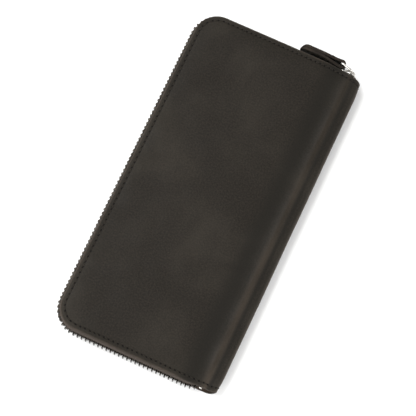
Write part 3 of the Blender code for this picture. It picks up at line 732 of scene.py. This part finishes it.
def saddle_stitches(name, sheet, place, end_u, material, slant=0.22):
    """A row of raised thread stitches all along the sheet's stitch line; place gives a world
    point."""
    centre_y = HALF_Y - CORNER
    bend = CORNER - STITCH_INSET
    reach = centre_y + bend * math.pi / 2 + (end_u - COVER_X - CORNER) * STITCH_CLOSER
    count = int(reach / STITCH_PITCH)
    ts = np.array([-1.0, -0.92, -0.7, -0.35, 0.0, 0.35, 0.7, 0.92, 1.0])
    ring = circle(1.0, 8)
    parts = []
    for k in range(-count, count):
        middle = (k + 0.5) * STITCH_PITCH
        path = []
        for t in ts:
            u, y = sheet.stitch_place(middle + t * STITCH_PITCH * 0.33)
            lift = THREAD_R * (0.55 - 2.1 * abs(t) ** 5)
            path.append(place(u, y, lift, slant * MM * t))
        thick = THREAD_R * np.sqrt(np.clip(1.12 - np.abs(ts) ** 6, 0.05, 1))
        section = ring[None] * thick[:, None, None]
        parts.append(sweep(path, section, (0.05, 0.03, 1.0)))
    return mesh_piece(name, *joined(parts), [material], sharp_deg=60)


# ================================================================ the zip
def draw_in(x, run):
    """How far the zip's line has turned inwards at x, near the spine."""
    share = min(max((x - run[0]) / (run[1] - run[0]), 0), 1)
    return DRAW_IN * share * share * (3 - 2 * share)


def zip_place(s, foot_x):
    """Point and outward direction at length s along the zip from its foot near the spine."""
    run_x = foot_x - (WALL_X + CORNER)
    run_y = 2 * (WALL_HALF_Y - CORNER)
    bend = CORNER * math.pi / 2
    if s < run_x:
        return (foot_x - s, -WALL_HALF_Y + draw_in(foot_x - s, DRAW_FOOT_X)), (0.0, -1.0)
    s -= run_x
    if s < bend:
        angle = math.radians(270) - s / CORNER
        out = (math.cos(angle), math.sin(angle))
        return (WALL_X + CORNER * (1 + out[0]), -WALL_HALF_Y + CORNER * (1 + out[1])), out
    s -= bend
    if s < run_y:
        return (WALL_X, -WALL_HALF_Y + CORNER + s), (-1.0, 0.0)
    s -= run_y
    if s < bend:
        angle = math.radians(180) - s / CORNER
        out = (math.cos(angle), math.sin(angle))
        return (WALL_X + CORNER * (1 + out[0]), WALL_HALF_Y - CORNER * (1 - out[1])), out
    x = WALL_X + CORNER + s - bend
    return (x, WALL_HALF_Y - draw_in(x, DRAW_HEAD_X)), (0.0, 1.0)


def zip_length(foot_x, head_x):
    """Length of the zip's line between its two ends near the spine."""
    straight = foot_x + head_x - 2 * (WALL_X + CORNER)
    return straight + 2 * (WALL_HALF_Y - CORNER) + CORNER * math.pi


def beside_zip(s, foot_x, out, z):
    """World place beside the zip's line, moved outwards by out."""
    (x, y), (ox, oy) = zip_place(s, foot_x)
    return (x + ox * out, y + oy * out + MID_Y, z)


def turned(side, z):
    """A height in the back half, or its mirror in the front half."""
    return z if side == "back" else TOP_Z - z


def zip_stations(foot_x, head_x):
    """Lengths along the zip: far apart on the straights, close together round the corners."""
    run_x = foot_x - (WALL_X + CORNER)
    bend = CORNER * math.pi / 2
    second = run_x + bend + 2 * (WALL_HALF_Y - CORNER)
    total = zip_length(foot_x, head_x)
    runs = ((0, 12 * MM, 12), (12 * MM, run_x, 4), (run_x, run_x + bend, 16))
    runs += ((run_x + bend, second, 8), (second, second + bend, 16))
    runs += ((second + bend, total - 24 * MM, 4), (total - 24 * MM, total - 14 * MM, 10))
    stations = []
    for start, end, count in runs:
        stations += list(np.linspace(start, end, count, endpoint=False))
    return stations + list(np.linspace(total - 14 * MM, total, 15))


# Section of the tape in mm: outwards from the zip's line, and height in the back half
TAPE_SECTION = (
    (-8.5, 1.75), (-1.6, 1.75), (-0.4, 1.80), (0.10, 2.05), (0.26, 2.60), (0.30, 3.4), (0.28, 4.0),
    (0.55, 4.25), (0.62, 4.75), (0.45, 5.15), (0.0, 5.30), (-0.45, 5.15), (-0.62, 4.75),
    (-0.50, 4.25), (-0.10, 4.0), (-0.12, 3.4), (-0.16, 2.75), (-0.55, 2.25), (-1.6, 2.15),
    (-8.5, 2.15),
)
FLANGE_REACH = 8.5
TAPE_FOOT_X = TAPE_HIGH[0] - 7.4 * MM
TAPE_HEAD_X = TAPE_HIGH[0] - 3.5 * MM
# The flange is narrow over this last length, where the slider's end of the tape turns in
NARROW_LENGTH = 8.6 * MM
NARROW_SHARE = 0.12


def zip_tape(side, material):
    """Woven tape: the flange sewn under the leather, the wall, and the corded edge."""
    rings = []
    total = zip_length(TAPE_FOOT_X, TAPE_HEAD_X)
    for s in zip_stations(TAPE_FOOT_X, TAPE_HEAD_X):
        keep = 1.0 if s < total - NARROW_LENGTH else NARROW_SHARE
        ring = []
        (x, y), _ = zip_place(s, TAPE_FOOT_X)
        drawn = (WALL_HALF_Y - abs(y)) / MM if x > 0 else 0
        for out, z in TAPE_SECTION:
            out_here = max(out, (drawn - FLANGE_REACH) * keep)
            ring.append(beside_zip(s, TAPE_FOOT_X, out_here * MM, turned(side, z * MM)))
        rings.append(ring)
    faces = ring_faces(len(rings), len(TAPE_SECTION))
    return mesh_piece(f"{side}_tape_woven", np.array(rings).reshape(-1, 3), faces, [material])


# How far the teeth stand out past their CAD place along the foot, and along the long side
FOOT_STAND_OUT = {"back": 0.95 * MM, "front": 0.35 * MM}
SIDE_STAND_OUT = 0.75 * MM


TEETH_FOOT_X = 39.5 * MM
TEETH_HEAD_X = 41.3 * MM
FIRST_TOOTH = 0.5 * MM + TOOTH_WIDTH / 2 + TOOTH_PITCH
TOOTH_LOW_Z = 4.55 * MM
TOOTH_TIP_Z = 8.45 * MM
# Height, share of the width and share of the depth: legs clamped on the cord, waist, round head
TOOTH_LEVELS = (
    (TOOTH_LOW_Z, 0.92, 1.0), (TOOTH_LOW_Z + 1.3 * MM, 1.0, 1.0),
    (TOOTH_TIP_Z - 1.75 * MM, 0.86, 0.92), (TOOTH_TIP_Z - 1.1 * MM, 1.0, 0.96),
    (TOOTH_TIP_Z - 0.35 * MM, 0.98, 0.88), (TOOTH_TIP_Z, 0.70, 0.66),
)
POINTED = 0.5
BLUNT = 0.95


def tooth_form(outer):
    """One stamped tooth in (along, out, z); outer is its outer end's share of its width."""
    rings = []
    for z, wide, deep in TOOTH_LEVELS:
        w, d = TOOTH_WIDTH * 1.12 / 2 * wide, TOOTH_DEPTH / 2 * deep
        rings.append([(-w, -d, z), (w, -d, z), (outer * w, d, z), (-outer * w, d, z)])
    form = solid_form(rings)
    round_edges(form, 40, 0.16 * MM, 2)
    return taken_from(form)


def zip_teeth(side, material):
    """The row of metal teeth, at the pitch and phase of the CAD row."""
    pointed, blunt = tooth_form(POINTED), tooth_form(BLUNT)
    first = FIRST_TOOTH
    if side == "front":
        first += TOOTH_PITCH / 2
    length = zip_length(TEETH_FOOT_X, TEETH_HEAD_X)
    count = int((length - first - TOOTH_WIDTH / 2) / TOOTH_PITCH)
    parts = []
    for k in range(count):
        s = first + k * TOOTH_PITCH
        (x, y), (ox, oy) = zip_place(s, TEETH_FOOT_X)
        at_foot = oy < -0.75
        verts, faces = pointed if at_foot else blunt
        stand_out = FOOT_STAND_OUT[side] if at_foot else SIDE_STAND_OUT
        proud = stand_out * min(max(1 - 2 * oy, 0), 1)
        x, y = x + ox * proud, y + oy * proud
        along = np.array((-oy, ox)) if side == "back" else np.array((oy, -ox))
        placed = np.empty_like(verts)
        placed[:, 0] = x + verts[:, 0] * along[0] + verts[:, 1] * ox
        placed[:, 1] = y + MID_Y + verts[:, 0] * along[1] + verts[:, 1] * oy
        placed[:, 2] = [turned(side, z) for z in verts[:, 2]]
        parts.append((placed, faces))
    return mesh_piece(f"{side}_teeth_metal", *joined(parts), [material])


# How far each stop has moved from its CAD place: to the last tooth, or in behind the leather
STOP_SHIFTS = (
    ("back_top_stop", (-0.8 * MM, -1.8 * MM, 0.0)),
    ("front_top_stop", (-0.8 * MM, -1.8 * MM, 0.0)),
    ("bottom_stop", (-3.0 * MM, -0.3 * MM, 0.0)),
)


def stop_piece(node, shift, material):
    """A stop clamped on the zip's end, moved along to where the last tooth is."""
    low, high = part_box(node)
    verts, faces = box_form(np.array(low) + shift, np.array(high) + shift, 0.35 * MM, 3)
    return mesh_piece(node + "_metal", verts, faces, [material])


# ================================================================ the slider and its pull
SLIDER_MOUTH_X = SLIDER_HIGH[0] - 1.8 * MM


PLATE_THICK = 0.9 * MM
LIP_DEPTH = 1.2 * MM


def slider_outline():
    """The slider's plate from outside, in (x, z): round shoulders and a narrow, round tail."""
    half = (SLIDER_HIGH[2] - SLIDER_LOW[2]) / 2
    tail, mouth = SLIDER_LOW[0], SLIDER_MOUTH_X
    quarter = (
        (tail, 0.0), (tail + 0.15 * MM, half * 0.45), (tail + 0.8 * MM, half * 0.82),
        (tail + 1.9 * MM, half * 0.90), (mouth - 5.2 * MM, half * 0.92),
        (mouth - 3.6 * MM, half), (mouth - 2.2 * MM, half), (mouth - 1.1 * MM, half * 0.86),
        (mouth - 0.4 * MM, half * 0.55), (mouth, half * 0.25),
    )
    lower = [(x, -z) for x, z in reversed(quarter[1:])]
    return [(x, z + MID_Z) for x, z in [*quarter, *lower]]


def slider_piece(material):
    """Two domed plates, turned-in lips and the post between them."""
    y0, y1 = SLIDER_LOW[1], SLIDER_HIGH[1]
    plates = ((y1 - PLATE_THICK, y1), (y0, y0 + PLATE_THICK))
    parts = [bevelled(slider_outline(), *ends, 1, 0.28 * MM, 3) for ends in plates]
    lips = (
        (y1 - PLATE_THICK - LIP_DEPTH, y1 - 0.2 * MM),
        (y0 + 0.2 * MM, y0 + PLATE_THICK + LIP_DEPTH),
    )
    for sign in (-1, 1):
        edge = MID_Z + sign * (SLIDER_HIGH[2] - MID_Z) * 0.93
        inner = edge - sign * 0.75 * MM
        z0, z1 = min(edge, inner), max(edge, inner)
        for low_y, high_y in lips:
            low = (SLIDER_LOW[0] + 1.4 * MM, low_y, z0)
            high = (SLIDER_MOUTH_X - 2.6 * MM, high_y, z1)
            parts.append(box_form(low, high, 0.2 * MM))
    low = (SLIDER_MOUTH_X - 2.6 * MM, y0 + 0.3 * MM, MID_Z - 1.0 * MM)
    high = (SLIDER_MOUTH_X - 0.6 * MM, y1 - 0.3 * MM, MID_Z + 1.0 * MM)
    parts.append(box_form(low, high, 0.4 * MM, 3))
    return mesh_piece("slider_body_metal", *joined(parts), [material])


def crown_piece(material):
    """The strap over the outer plate, in one bend from foot to foot."""
    foot = SLIDER_HIGH[1] - 0.15 * MM
    top = CROWN_HIGH[1] - 0.4 * MM
    x0, x1 = CROWN_LOW[0] + 0.45 * MM, CROWN_HIGH[0] - 0.45 * MM
    middle = (x0 + x1) / 2
    aims = (
        (x0 - 0.6 * MM, foot - 2 * MM), (x0, foot), (x0 + 0.1 * MM, foot + 1.3 * MM),
        (x0 + 0.9 * MM, top - 0.45 * MM), (middle, top), (x1 - 0.9 * MM, top - 0.45 * MM),
        (x1 - 0.1 * MM, foot + 1.3 * MM), (x1, foot), (x1 + 0.6 * MM, foot - 2 * MM),
    )
    line = smooth_line(aims, 0.25 * MM)
    path = np.column_stack([line, np.full(len(line), MID_Z)])
    width = CROWN_HIGH[2] - CROWN_LOW[2]
    section = rounded_section(0.8 * MM, width, 0.3 * MM)
    verts, faces = sweep(path, section, (0, 0, 1))
    return mesh_piece("slider_crown_metal", verts, faces, [material], sharp_deg=60)


RING_WIRE = 0.6 * MM
TAB_THICK = 1.7 * MM
TAB_EYE_Y = RING_HIGH[1] - RING_WIRE
TAB_LIFT = 0.80 * MM
TAB_EYE_R = 1.0 * MM
TAB_EYE_X = RING_LOW[0] + RING_WIRE + 0.2 * MM
TAB_END_X = TAB_LOW[0]
TAB_NOSE_X = TAB_END_X + 3.9 * MM
TAB_OPENS_X = TAB_END_X + 12.4 * MM
TAB_STITCH = 3.0 * MM
TAB_STITCHES = 6


def ring_piece(material):
    """The wire ring: a rounded rectangle of round wire."""
    wire = RING_WIRE
    x0, x1 = RING_LOW[0] + wire, RING_HIGH[0] - wire
    z0, z1 = RING_LOW[2] + wire + 0.4 * MM, RING_HIGH[2] - wire - 0.4 * MM
    near_y, far_y = RING_LOW[1] + wire, TAB_EYE_Y
    loop = rounded_section(x1 - x0, z1 - z0, 1.7 * MM, 8)
    path = []
    for (u, v), (u2, v2) in zip(loop, loop[1:] + loop[:1]):
        pieces = max(1, int(math.hypot(u2 - u, v2 - v) / (0.6 * MM)))
        for i in range(pieces):
            t = i / pieces
            path.append((u + (u2 - u) * t, v + (v2 - v) * t))
    path = [p for p, q in zip(path, path[1:] + path[:1]) if math.dist(p, q) > 1e-6]
    points = []
    for u, v in path:
        share = (u + (x1 - x0) / 2) / (x1 - x0)
        points.append((x0 + u + (x1 - x0) / 2, far_y + (near_y - far_y) * share, (z0 + z1) / 2 + v))
    verts, faces = sweep(points, circle(wire, 16), (0, 1, 0), closed=True)
    return mesh_piece("pull_ring_metal", verts, faces, [material])


def tab_middle(x):
    """Y of the middle between the strap's legs at x, and half the gap between them."""
    away = np.clip((TAB_EYE_X - x) / (13 * MM), 0, 1)
    rise = TAB_LIFT * away**2 * (3 - 2 * away)
    nose = np.maximum(TAB_NOSE_X - x, 0) / (TAB_NOSE_X - TAB_END_X)
    opening = np.maximum(x - TAB_OPENS_X, 0) / (TAB_EYE_X - TAB_OPENS_X)
    gap = 0.05 * MM + (TAB_EYE_R - 0.05 * MM) * opening**1.5
    return TAB_EYE_Y + rise - 0.5 * MM * nose**2, gap


def nose_press(x, y):
    """The strap's free end pressed thin towards its inner side."""
    floor = tab_middle(x)[0] - TAB_THICK
    share = np.clip((TAB_END_X + 3.6 * MM - x) / (3.6 * MM), 0, 1)
    return floor + (y - floor) * np.sqrt(1 - 0.93 * share**2)


def tab_pieces(leather, edge, thread):
    """The folded strap with rounded free end and cut edges, and the stitches that close it."""
    half = (TAB_HIGH[2] - TAB_LOW[2]) / 2
    xs = np.linspace(TAB_END_X, TAB_EYE_X, 56)
    middle, gap = tab_middle(xs)
    leg = gap + TAB_THICK / 2
    turn = np.radians(np.linspace(-90, 90, 22)[1:-1])
    radius = TAB_EYE_R + TAB_THICK / 2
    eye = np.column_stack([TAB_EYE_X + radius * np.cos(turn), TAB_EYE_Y + radius * np.sin(turn)])
    lower = np.column_stack([xs, middle - leg])
    upper = np.column_stack([xs, middle + leg])[::-1]
    line = np.vstack([lower, eye, upper])
    ends = np.minimum(line[:, 0] - TAB_END_X, 20 * MM)
    tongue = np.clip(1 - ends / (3.4 * MM), 0, 1)
    waist = 1 - 0.20 * np.clip((line[:, 0] - TAB_END_X - 13 * MM) / (8 * MM), 0, 1)
    width = half * np.sqrt(1 - 0.70 * tongue**2) * waist
    thin = 1 - 0.22 * np.clip((line[:, 0] - TAB_EYE_X) / radius, 0, 1)

    path = np.column_stack([line, np.full(len(line), MID_Z)])
    base = np.array(rounded_section(2.0, TAB_THICK, 0.3 * MM, 4))
    shift = np.sign(base[:, 0]) * (np.abs(base[:, 0]) - 1.0)
    section = np.empty((len(path), len(base), 2))
    section[..., 0] = base[:, 1] * thin[:, None]
    section[..., 1] = np.sign(base[:, 0]) * width[:, None] + shift
    verts, faces = sweep(path, section, (0, 0, 1))
    verts[:, 1] = nose_press(verts[:, 0], verts[:, 1])
    on_edge = np.abs(base[:, 1]) < TAB_THICK / 2 - 0.16 * MM
    slots = []
    for face in faces:
        rim = len(face) > 4 or all(on_edge[i % len(base)] for i in face)
        slots.append(1 if rim else 0)
    strap = mesh_piece("pull_tab_leather", verts, faces, [leather, edge], slots)

    parts = []
    ring = circle(THREAD_R * 0.85, 8)
    ts = np.linspace(-1, 1, 7)
    for k in range(TAB_STITCHES):
        x = TAB_END_X + 3.4 * MM + k * TAB_STITCH
        for z_sign in (-1, 1):
            z = MID_Z + z_sign * (half - 1.3 * MM)
            for y_sign in (-1, 1):
                path = []
                for t in ts:
                    here = x + t * TAB_STITCH * 0.41
                    mid, space = tab_middle(here)
                    stand = space + TAB_THICK + THREAD_R * (0.45 - 2.0 * abs(t) ** 5)
                    path.append((here, nose_press(here, mid + y_sign * stand), z))
                parts.append(sweep(path, ring, (0, 0, 1)))
    return strap, mesh_piece("pull_tab_stitches", *joined(parts), [thread])


# ================================================================ inside
# Distance between the cuts that let a flat face bend
WAVE_STEP = 3 * MM
INNER_THREAD_R = 0.2 * MM
INNER_PITCH = 3.0 * MM
COIL_PITCH = 1.05 * MM
COIL_WIRE_R = 0.2 * MM
POCKETS = range(1, 5)


def softened(node, material, edge_radius, wave=0.0):
    """A CAD piece with rounded edges and a gently uneven face, as worked leather or cloth has."""
    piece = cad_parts[node]
    form = bmesh.new()
    form.from_mesh(piece.data)
    form.transform(piece.matrix_world)
    bmesh.ops.remove_doubles(form, verts=form.verts, dist=0.001 * MM)
    flat = math.radians(2)
    bmesh.ops.dissolve_limit(form, angle_limit=flat, verts=form.verts, edges=form.edges)
    round_edges(form, 30, edge_radius, 3)
    low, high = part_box(node)
    if wave:
        for axis in (0, 1):
            across = Vector((1 - axis, axis, 0))
            for place in np.arange(low[axis] + WAVE_STEP, high[axis] - 1 * MM, WAVE_STEP):
                everything = form.verts[:] + form.edges[:] + form.faces[:]
                cut = across * float(place)
                bmesh.ops.bisect_plane(
                    form, geom=everything, dist=1e-7, plane_co=cut, plane_no=across
                )
        phase = 900 * float(low[0] + low[2])
        for vert in form.verts:
            x, y = vert.co.x, vert.co.y
            vert.co.z += wave * math.sin(95 * x + 1.5 * math.sin(40 * y) + phase) * math.sin(70 * y)
    return mesh_piece(node + "_soft", *taken_from(form), [material], sharp_deg=50)


def slot_edge(node, material):
    """The turned-over lip along a card pocket's mouth."""
    low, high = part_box(node)
    middle = (low[2] + high[2]) / 2
    ys = np.linspace(low[1] + 2.8 * MM, high[1] - 2.8 * MM, 30)
    path = [(low[0] + 0.15 * MM, y, middle) for y in ys]
    section = rounded_section(1.5 * MM, (high[2] - low[2]) + 0.14 * MM, 0.24 * MM)
    verts, faces = sweep(path, section, (0, 0, 1))
    return mesh_piece(node + "_lip", verts, faces, [material])


def straight_stitches(name, rows, material):
    """Rows of thread stitches; each row is its two ends and its up direction."""
    parts = []
    ring = circle(INNER_THREAD_R, 6)
    ts = np.linspace(-1, 1, 5)
    for start, end, up in rows:
        start, end, up = (np.array(v, float) for v in (start, end, up))
        count = int(np.linalg.norm(end - start) / INNER_PITCH)
        step = (end - start) / count
        for k in range(count):
            centre = start + step * (k + 0.5)
            path = [centre + step * 0.43 * t + up * 0.16 * MM * (0.6 - 1.6 * t**4) for t in ts]
            parts.append(sweep(path, ring, up))
    return mesh_piece(name, *joined(parts), [material])


def inner_stitches(side, material):
    """Stitching seen inside one half: round the lining, and down the pockets' middle and ends."""
    up = 1 if side == "back" else -1
    lining_z = turned(side, LINING_HIGH[2])

    def on_lining(u, y, lift, skew):
        return (u, y + MID_Y + skew, lining_z + up * lift)

    end_u = FOLD_X - 4 * MM
    sheet = Sheet(BACK_LINE, -1, True)
    edge = saddle_stitches(f"{side}_lining_stitches", sheet, on_lining, end_u, material)
    rows = []
    for i in POCKETS:
        low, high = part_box(f"{side}_card_pocket_{i}")
        z = high[2] if side == "back" else low[2]
        right = high[0] - 2 * MM if i == POCKETS[-1] else low[0] + 9.6 * MM
        for y in (low[1] + 1.4 * MM, MID_Y - 0.9 * MM, MID_Y + 0.9 * MM, high[1] - 1.4 * MM):
            rows.append(((low[0] + 1.2 * MM, y, z), (right, y, z), (0, 0, up)))
    pockets = straight_stitches(f"{side}_pocket_stitches", rows, material)
    return edge, pockets


def spine_lining(material):
    """The lining inside the spine, following the leather's inner face."""
    front = Profile(FRONT_LINE, 1)
    back = Profile(BACK_LINE, -1)
    layers = []
    for depth in (LEATHER + 0.25 * MM, LEATHER + 0.7 * MM):
        line = []
        for profile, order in ((front, 1), (back, -1)):
            u = np.linspace(FOLD_X + 1.5 * MM, profile.end - 0.2 * MM, 20)[::order]
            (x, z), (ox, oz) = profile.at(u)
            line += list(zip(x - ox * depth, z - oz * depth))
        layers.append(line)
    outline = layers[0] + layers[1][::-1]
    low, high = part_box("spine_lining")
    form = bevelled(outline, low[1], high[1], 1, 0.05 * MM, 1)
    return mesh_piece("spine_lining_leather", *form, [material])


def gusset(side, end, material):
    """A pleated gusset with one soft fold inwards, in thin leather, and its CAD box."""
    low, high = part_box(f"{side}_gusset_{end}")
    outer, inner = (high[1], low[1]) if end == "head" else (low[1], high[1])
    z0, z1 = low[2] + 0.15 * MM, high[2] - 0.15 * MM
    middle = (z0 + z1) / 2
    depth = outer - inner
    aims = (
        (outer + depth * 0.3, z0 - 0.1 * MM), (outer, z0), (outer - depth * 0.45, z0 + 0.25 * MM),
        (outer - depth * 0.9, middle - 0.45 * MM), (outer - depth * 0.97, middle),
        (outer - depth * 0.9, middle + 0.45 * MM), (outer - depth * 0.45, z1 - 0.25 * MM),
        (outer, z1), (outer + depth * 0.3, z1 + 0.1 * MM),
    )
    line = smooth_line(aims, 0.5 * MM)
    xs = np.linspace(low[0], high[0], 24)
    tangent = unit(np.gradient(line, axis=0))
    normal = np.column_stack([-tangent[:, 1], tangent[:, 0]]) * 0.17 * MM
    layers = []
    for sign in (-1, 1):
        layer = np.empty((len(xs), len(line), 3))
        layer[..., 0] = xs[:, None]
        layer[..., 1] = line[:, 0] + sign * normal[:, 0]
        layer[..., 2] = line[:, 1] + sign * normal[:, 1]
        layers.append(layer.reshape(-1, 3))
    faces = np.vstack(two_layer_faces(len(xs), len(line)))
    piece = mesh_piece(f"{side}_gusset_{end}_leather", np.vstack(layers), faces, [material])
    return piece, (low, high)


def coin_coil(side, material):
    """The coil zip's row: rounded turns along a straight line."""
    low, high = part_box(f"coin_{side}_coil")
    count = int((high[1] - low[1]) / COIL_PITCH)
    shift = COIL_PITCH / 2 if side == "front" else 0.0
    x, middle = (low[0] + high[0]) / 2, (low[2] + high[2]) / 2
    reach = (high[2] - low[2]) / 2
    parts = []
    for k in range(count - 1):
        y = low[1] + 0.4 * MM + shift + k * COIL_PITCH
        path = []
        for a in np.linspace(0, 2 * math.pi, 12, endpoint=False):
            lean = 0.12 * MM * math.sin(2 * a)
            path.append((x + 0.34 * MM * math.sin(a), y + lean, middle + reach * 0.92 * math.cos(a)))
        parts.append(sweep(path, circle(COIL_WIRE_R, 6), (0, 1, 0), closed=True))
    return mesh_piece(f"coin_{side}_coil_turns", *joined(parts), [material])


def inside_pieces(finishes):
    """Everything between the covers."""
    pocket, lining, fabric = finishes["pocket"], finishes["lining"], finishes["fabric"]
    for side, body in (("back", "back_half"), ("front", "front_half")):
        for node, on, material, radius, wave, slot in (
            (f"{side}_stiffener", body, finishes["board"], 0.08 * MM, 0.0, "board"),
            (f"{side}_lining", body, lining, 0.15 * MM, 0.04 * MM, "lining_leather"),
            (f"{side}_bill_divider", body, fabric, 0.12 * MM, 0.05 * MM, "lining_fabric"),
            (f"coin_{side}_tape", "spine", finishes["tape"], 0.10 * MM, 0.02 * MM, "zip_tape"),
            (f"coin_{side}_panel", "spine", lining, 0.14 * MM, 0.03 * MM, "lining_leather"),
        ):
            soft = softened(node, material, radius, wave)
            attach(soft, on)
            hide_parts(node)
        for i in POCKETS:
            node = f"{side}_card_pocket_{i}"
            soft = softened(node, pocket, 0.14 * MM, 0.03 * MM)
            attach(soft, body)
            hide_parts(node)
            lip = slot_edge(node, pocket)
            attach(lip, body)
        for piece in inner_stitches(side, finishes["thread"]):
            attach(piece, body)
        coil = coin_coil(side, finishes["coil"])
        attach(coil, "spine")
        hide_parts(f"coin_{side}_coil")
        for end in ("foot", "head"):
            piece, (low, high) = gusset(side, end, lining)
            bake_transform(piece)
            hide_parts(f"{side}_gusset_{end}")
    for node, body in (("coin_slider_body", "coin_slider"), ("coin_pull", "coin_pull")):
        smooth = softened(node, finishes["metal"], 0.28 * MM)
        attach(smooth, body)
        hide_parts(node)
    inner = spine_lining(lining)
    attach(inner, "spine")
    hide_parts("spine_lining")


def outside_pieces(finishes):
    """Leather, stitching, zip, slider and pull."""
    skins = [finishes["outer"], finishes["edge"], finishes["flesh"]]
    spine_seam = (SEAM[0], MID_Y, SEAM[1])
    halves = (
        ("front", FRONT_LINE, 1, False, ("spine", "front_half")),
        ("back", BACK_LINE, -1, True, ("back_half", "spine")),
    )
    for side, line, outward, flat, bodies in halves:
        sheet = Sheet(line, outward, flat)
        leather = sheet.build(f"{side}_outer_leather", skins)

        def on_sheet(u, y, lift, skew, sheet=sheet):
            return sheet.point(u, y + skew, lift)

        end_u = sheet.profile.end - 0.5 * MM
        thread = saddle_stitches(
            f"{side}_saddle_stitches", sheet, on_sheet, end_u, finishes["thread"]
        )
        if side == "front":
            stop = (FOLD_X - 2.5 * MM, 0, TOP_Z + 1.0 * MM)
        else:
            stop = spine_seam
        for piece in (leather, thread):
            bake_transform(piece)
        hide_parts(f"{side}_cover")
        if side == "front":
            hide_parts("spine_cover")

        body = f"{side}_half"
        tape = zip_tape(side, finishes["tape"])
        teeth = zip_teeth(side, finishes["teeth"])
        near, far = (FOLD_X + 2 * MM, 0, MID_Z), (TAPE_HIGH[0], 0, MID_Z)
        if side == "front":
            near, far = far, near
        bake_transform(tape)
        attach(teeth, body)
        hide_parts(f"{side}_zip_tape")
        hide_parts(f"{side}_zip_teeth")

    for node, shift in STOP_SHIFTS:
        stop = stop_piece(node, np.array(shift), finishes["metal"])
        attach(stop, "spine")
        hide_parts(node)

    metal_parts = (
        (slider_piece(finishes["metal"]), "zip_slider", "slider_body"),
        (crown_piece(finishes["metal"]), "zip_slider", "slider_crown"),
        (ring_piece(finishes["metal"]), "pull_ring", "pull_ring"),
    )
    for piece, body, node in metal_parts:
        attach(piece, body)
        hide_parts(node)
    strap, stitches = tab_pieces(finishes["strap"], finishes["edge"], finishes["thread"])
    for piece in (strap, stitches):
        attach(piece, "pull_tab")
    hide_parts("pull_tab")


# ================================================================ studio
# The studio is bright near the horizon and darker overhead:
# heights from, to and the brightness at each
SKY_GLOW = (0.30, 0.90, 1.30, 0.16)
LIGHTS = (
    ("key_left", (-0.82, 0.10, 1.35), (1.1, 1.1), 31.0),
    ("fill_right", (0.80, -0.35, 0.60), (0.7, 0.7), 6.0),
    ("front_low", (-0.15, -1.10, 0.65), (0.8, 0.8), 9.0),
)
FLOOR_HALF = 3.0


def area_light(name, location, size, power):
    """A soft light that faces the wallet."""
    data = bpy.data.lights.new(name, "AREA")
    data.shape = "RECTANGLE"
    data.size, data.size_y = size
    data.energy = power
    light = bpy.data.objects.new(name, data)
    light.location = location
    light.rotation_mode = "QUATERNION"
    light.rotation_quaternion = (-Vector(location)).to_track_quat("-Z", "Y")
    bpy.context.scene.collection.objects.link(light)


def studio():
    """Pale floor, a sky that is bright low down, and the lights."""
    verts = [(x * FLOOR_HALF, y * FLOOR_HALF, 0) for x, y in ((-1, -1), (1, -1), (1, 1), (-1, 1))]
    floor = mesh_piece("pale_floor", verts, [(0, 1, 2, 3)], [floor_material()])
    world = bpy.data.worlds.new("studio")
    world.use_nodes = True
    nodes, links = world.node_tree.nodes, world.node_tree.links
    direction = nodes.new("ShaderNodeTexCoord")
    height = nodes.new("ShaderNodeSeparateXYZ")
    glow = nodes.new("ShaderNodeMapRange")
    for name, value in zip(("From Min", "From Max", "To Min", "To Max"), SKY_GLOW):
        glow.inputs[name].default_value = value
    links.new(direction.outputs["Generated"], height.inputs[0])
    links.new(height.outputs["Z"], glow.inputs["Value"])
    links.new(glow.outputs["Result"], nodes["Background"].inputs["Strength"])
    nodes["Background"].inputs["Color"].default_value = (1.0, 1.0, 1.0, 1.0)
    bpy.context.scene.world = world
    for name, place, size, power in LIGHTS:
        area_light(name, place, size, power)
    bpy.context.scene.view_settings.view_transform = "Standard"


CAMERA_AZIMUTH = 24.9
CAMERA_ELEVATION = 75.1
CAMERA_DISTANCE = 1.005
CAMERA_LENS = 161.0
CAMERA_TARGET = (1.4 * MM, -5.0 * MM + MID_Y, 8 * MM)


def photo_camera():
    """The camera, from its angles above and round the wallet and its distance."""
    data = bpy.data.cameras.new("photo_camera")
    data.sensor_width = 36.0
    data.lens = CAMERA_LENS
    camera = bpy.data.objects.new("photo_camera", data)
    turn, rise = math.radians(CAMERA_AZIMUTH), math.radians(CAMERA_ELEVATION)
    flat = math.cos(rise)
    back = Vector((math.sin(turn) * flat, -math.cos(turn) * flat, math.sin(rise)))
    camera.location = Vector(CAMERA_TARGET) + back * CAMERA_DISTANCE
    camera.rotation_mode = "QUATERNION"
    camera.rotation_quaternion = (-back).to_track_quat("-Z", "Y")
    bpy.context.scene.collection.objects.link(camera)
    bpy.context.scene.camera = camera


# ================================================================ the scene
def made_materials():
    """Every material of the wallet, by its use."""
    leathers = (
        ("flesh", "flesh_side", FLESH_DARK, FLESH_LIGHT, 0.85, 0.8),
        ("strap", "strap_leather", LEATHER_DARK, LEATHER_LIGHT, 0.55, 0.4),
        ("lining", "lining_leather", INNER_DARK, INNER_LIGHT, 0.62, 0.3),
        ("pocket", "pocket_leather", INNER_DARK, INNER_LIGHT, 0.58, 0.35),
    )
    made = {use: plain_leather_material(*values) for use, *values in leathers}
    made["outer"] = outer_leather_material()
    made["edge"] = cut_edge_material()
    made["fabric"] = woven_material("lining_twill", TWILL_DARK, TWILL_LIGHT, 0.7 * MM)
    made["tape"] = woven_material("zip_tape_weave", TAPE_DARK, TAPE_LIGHT, 0.8 * MM)
    made["thread"] = thread_material()
    made["metal"] = metal_material("nickel_plate", NICKEL, NICKEL_DULL)
    # The teeth: nickel painted near-black, a painted dark reflection
    made["teeth"] = metal_material("teeth_nickel_painted_dark", TOOTH_NICKEL, TOOTH_DULL)
    made["coil"] = coil_material()
    made["board"] = board_material()
    return made


def main():
    """Builds the scene."""
    photo_camera()
    studio()
    made = made_materials()
    outside_pieces(made)
    inside_pieces(made)


main()
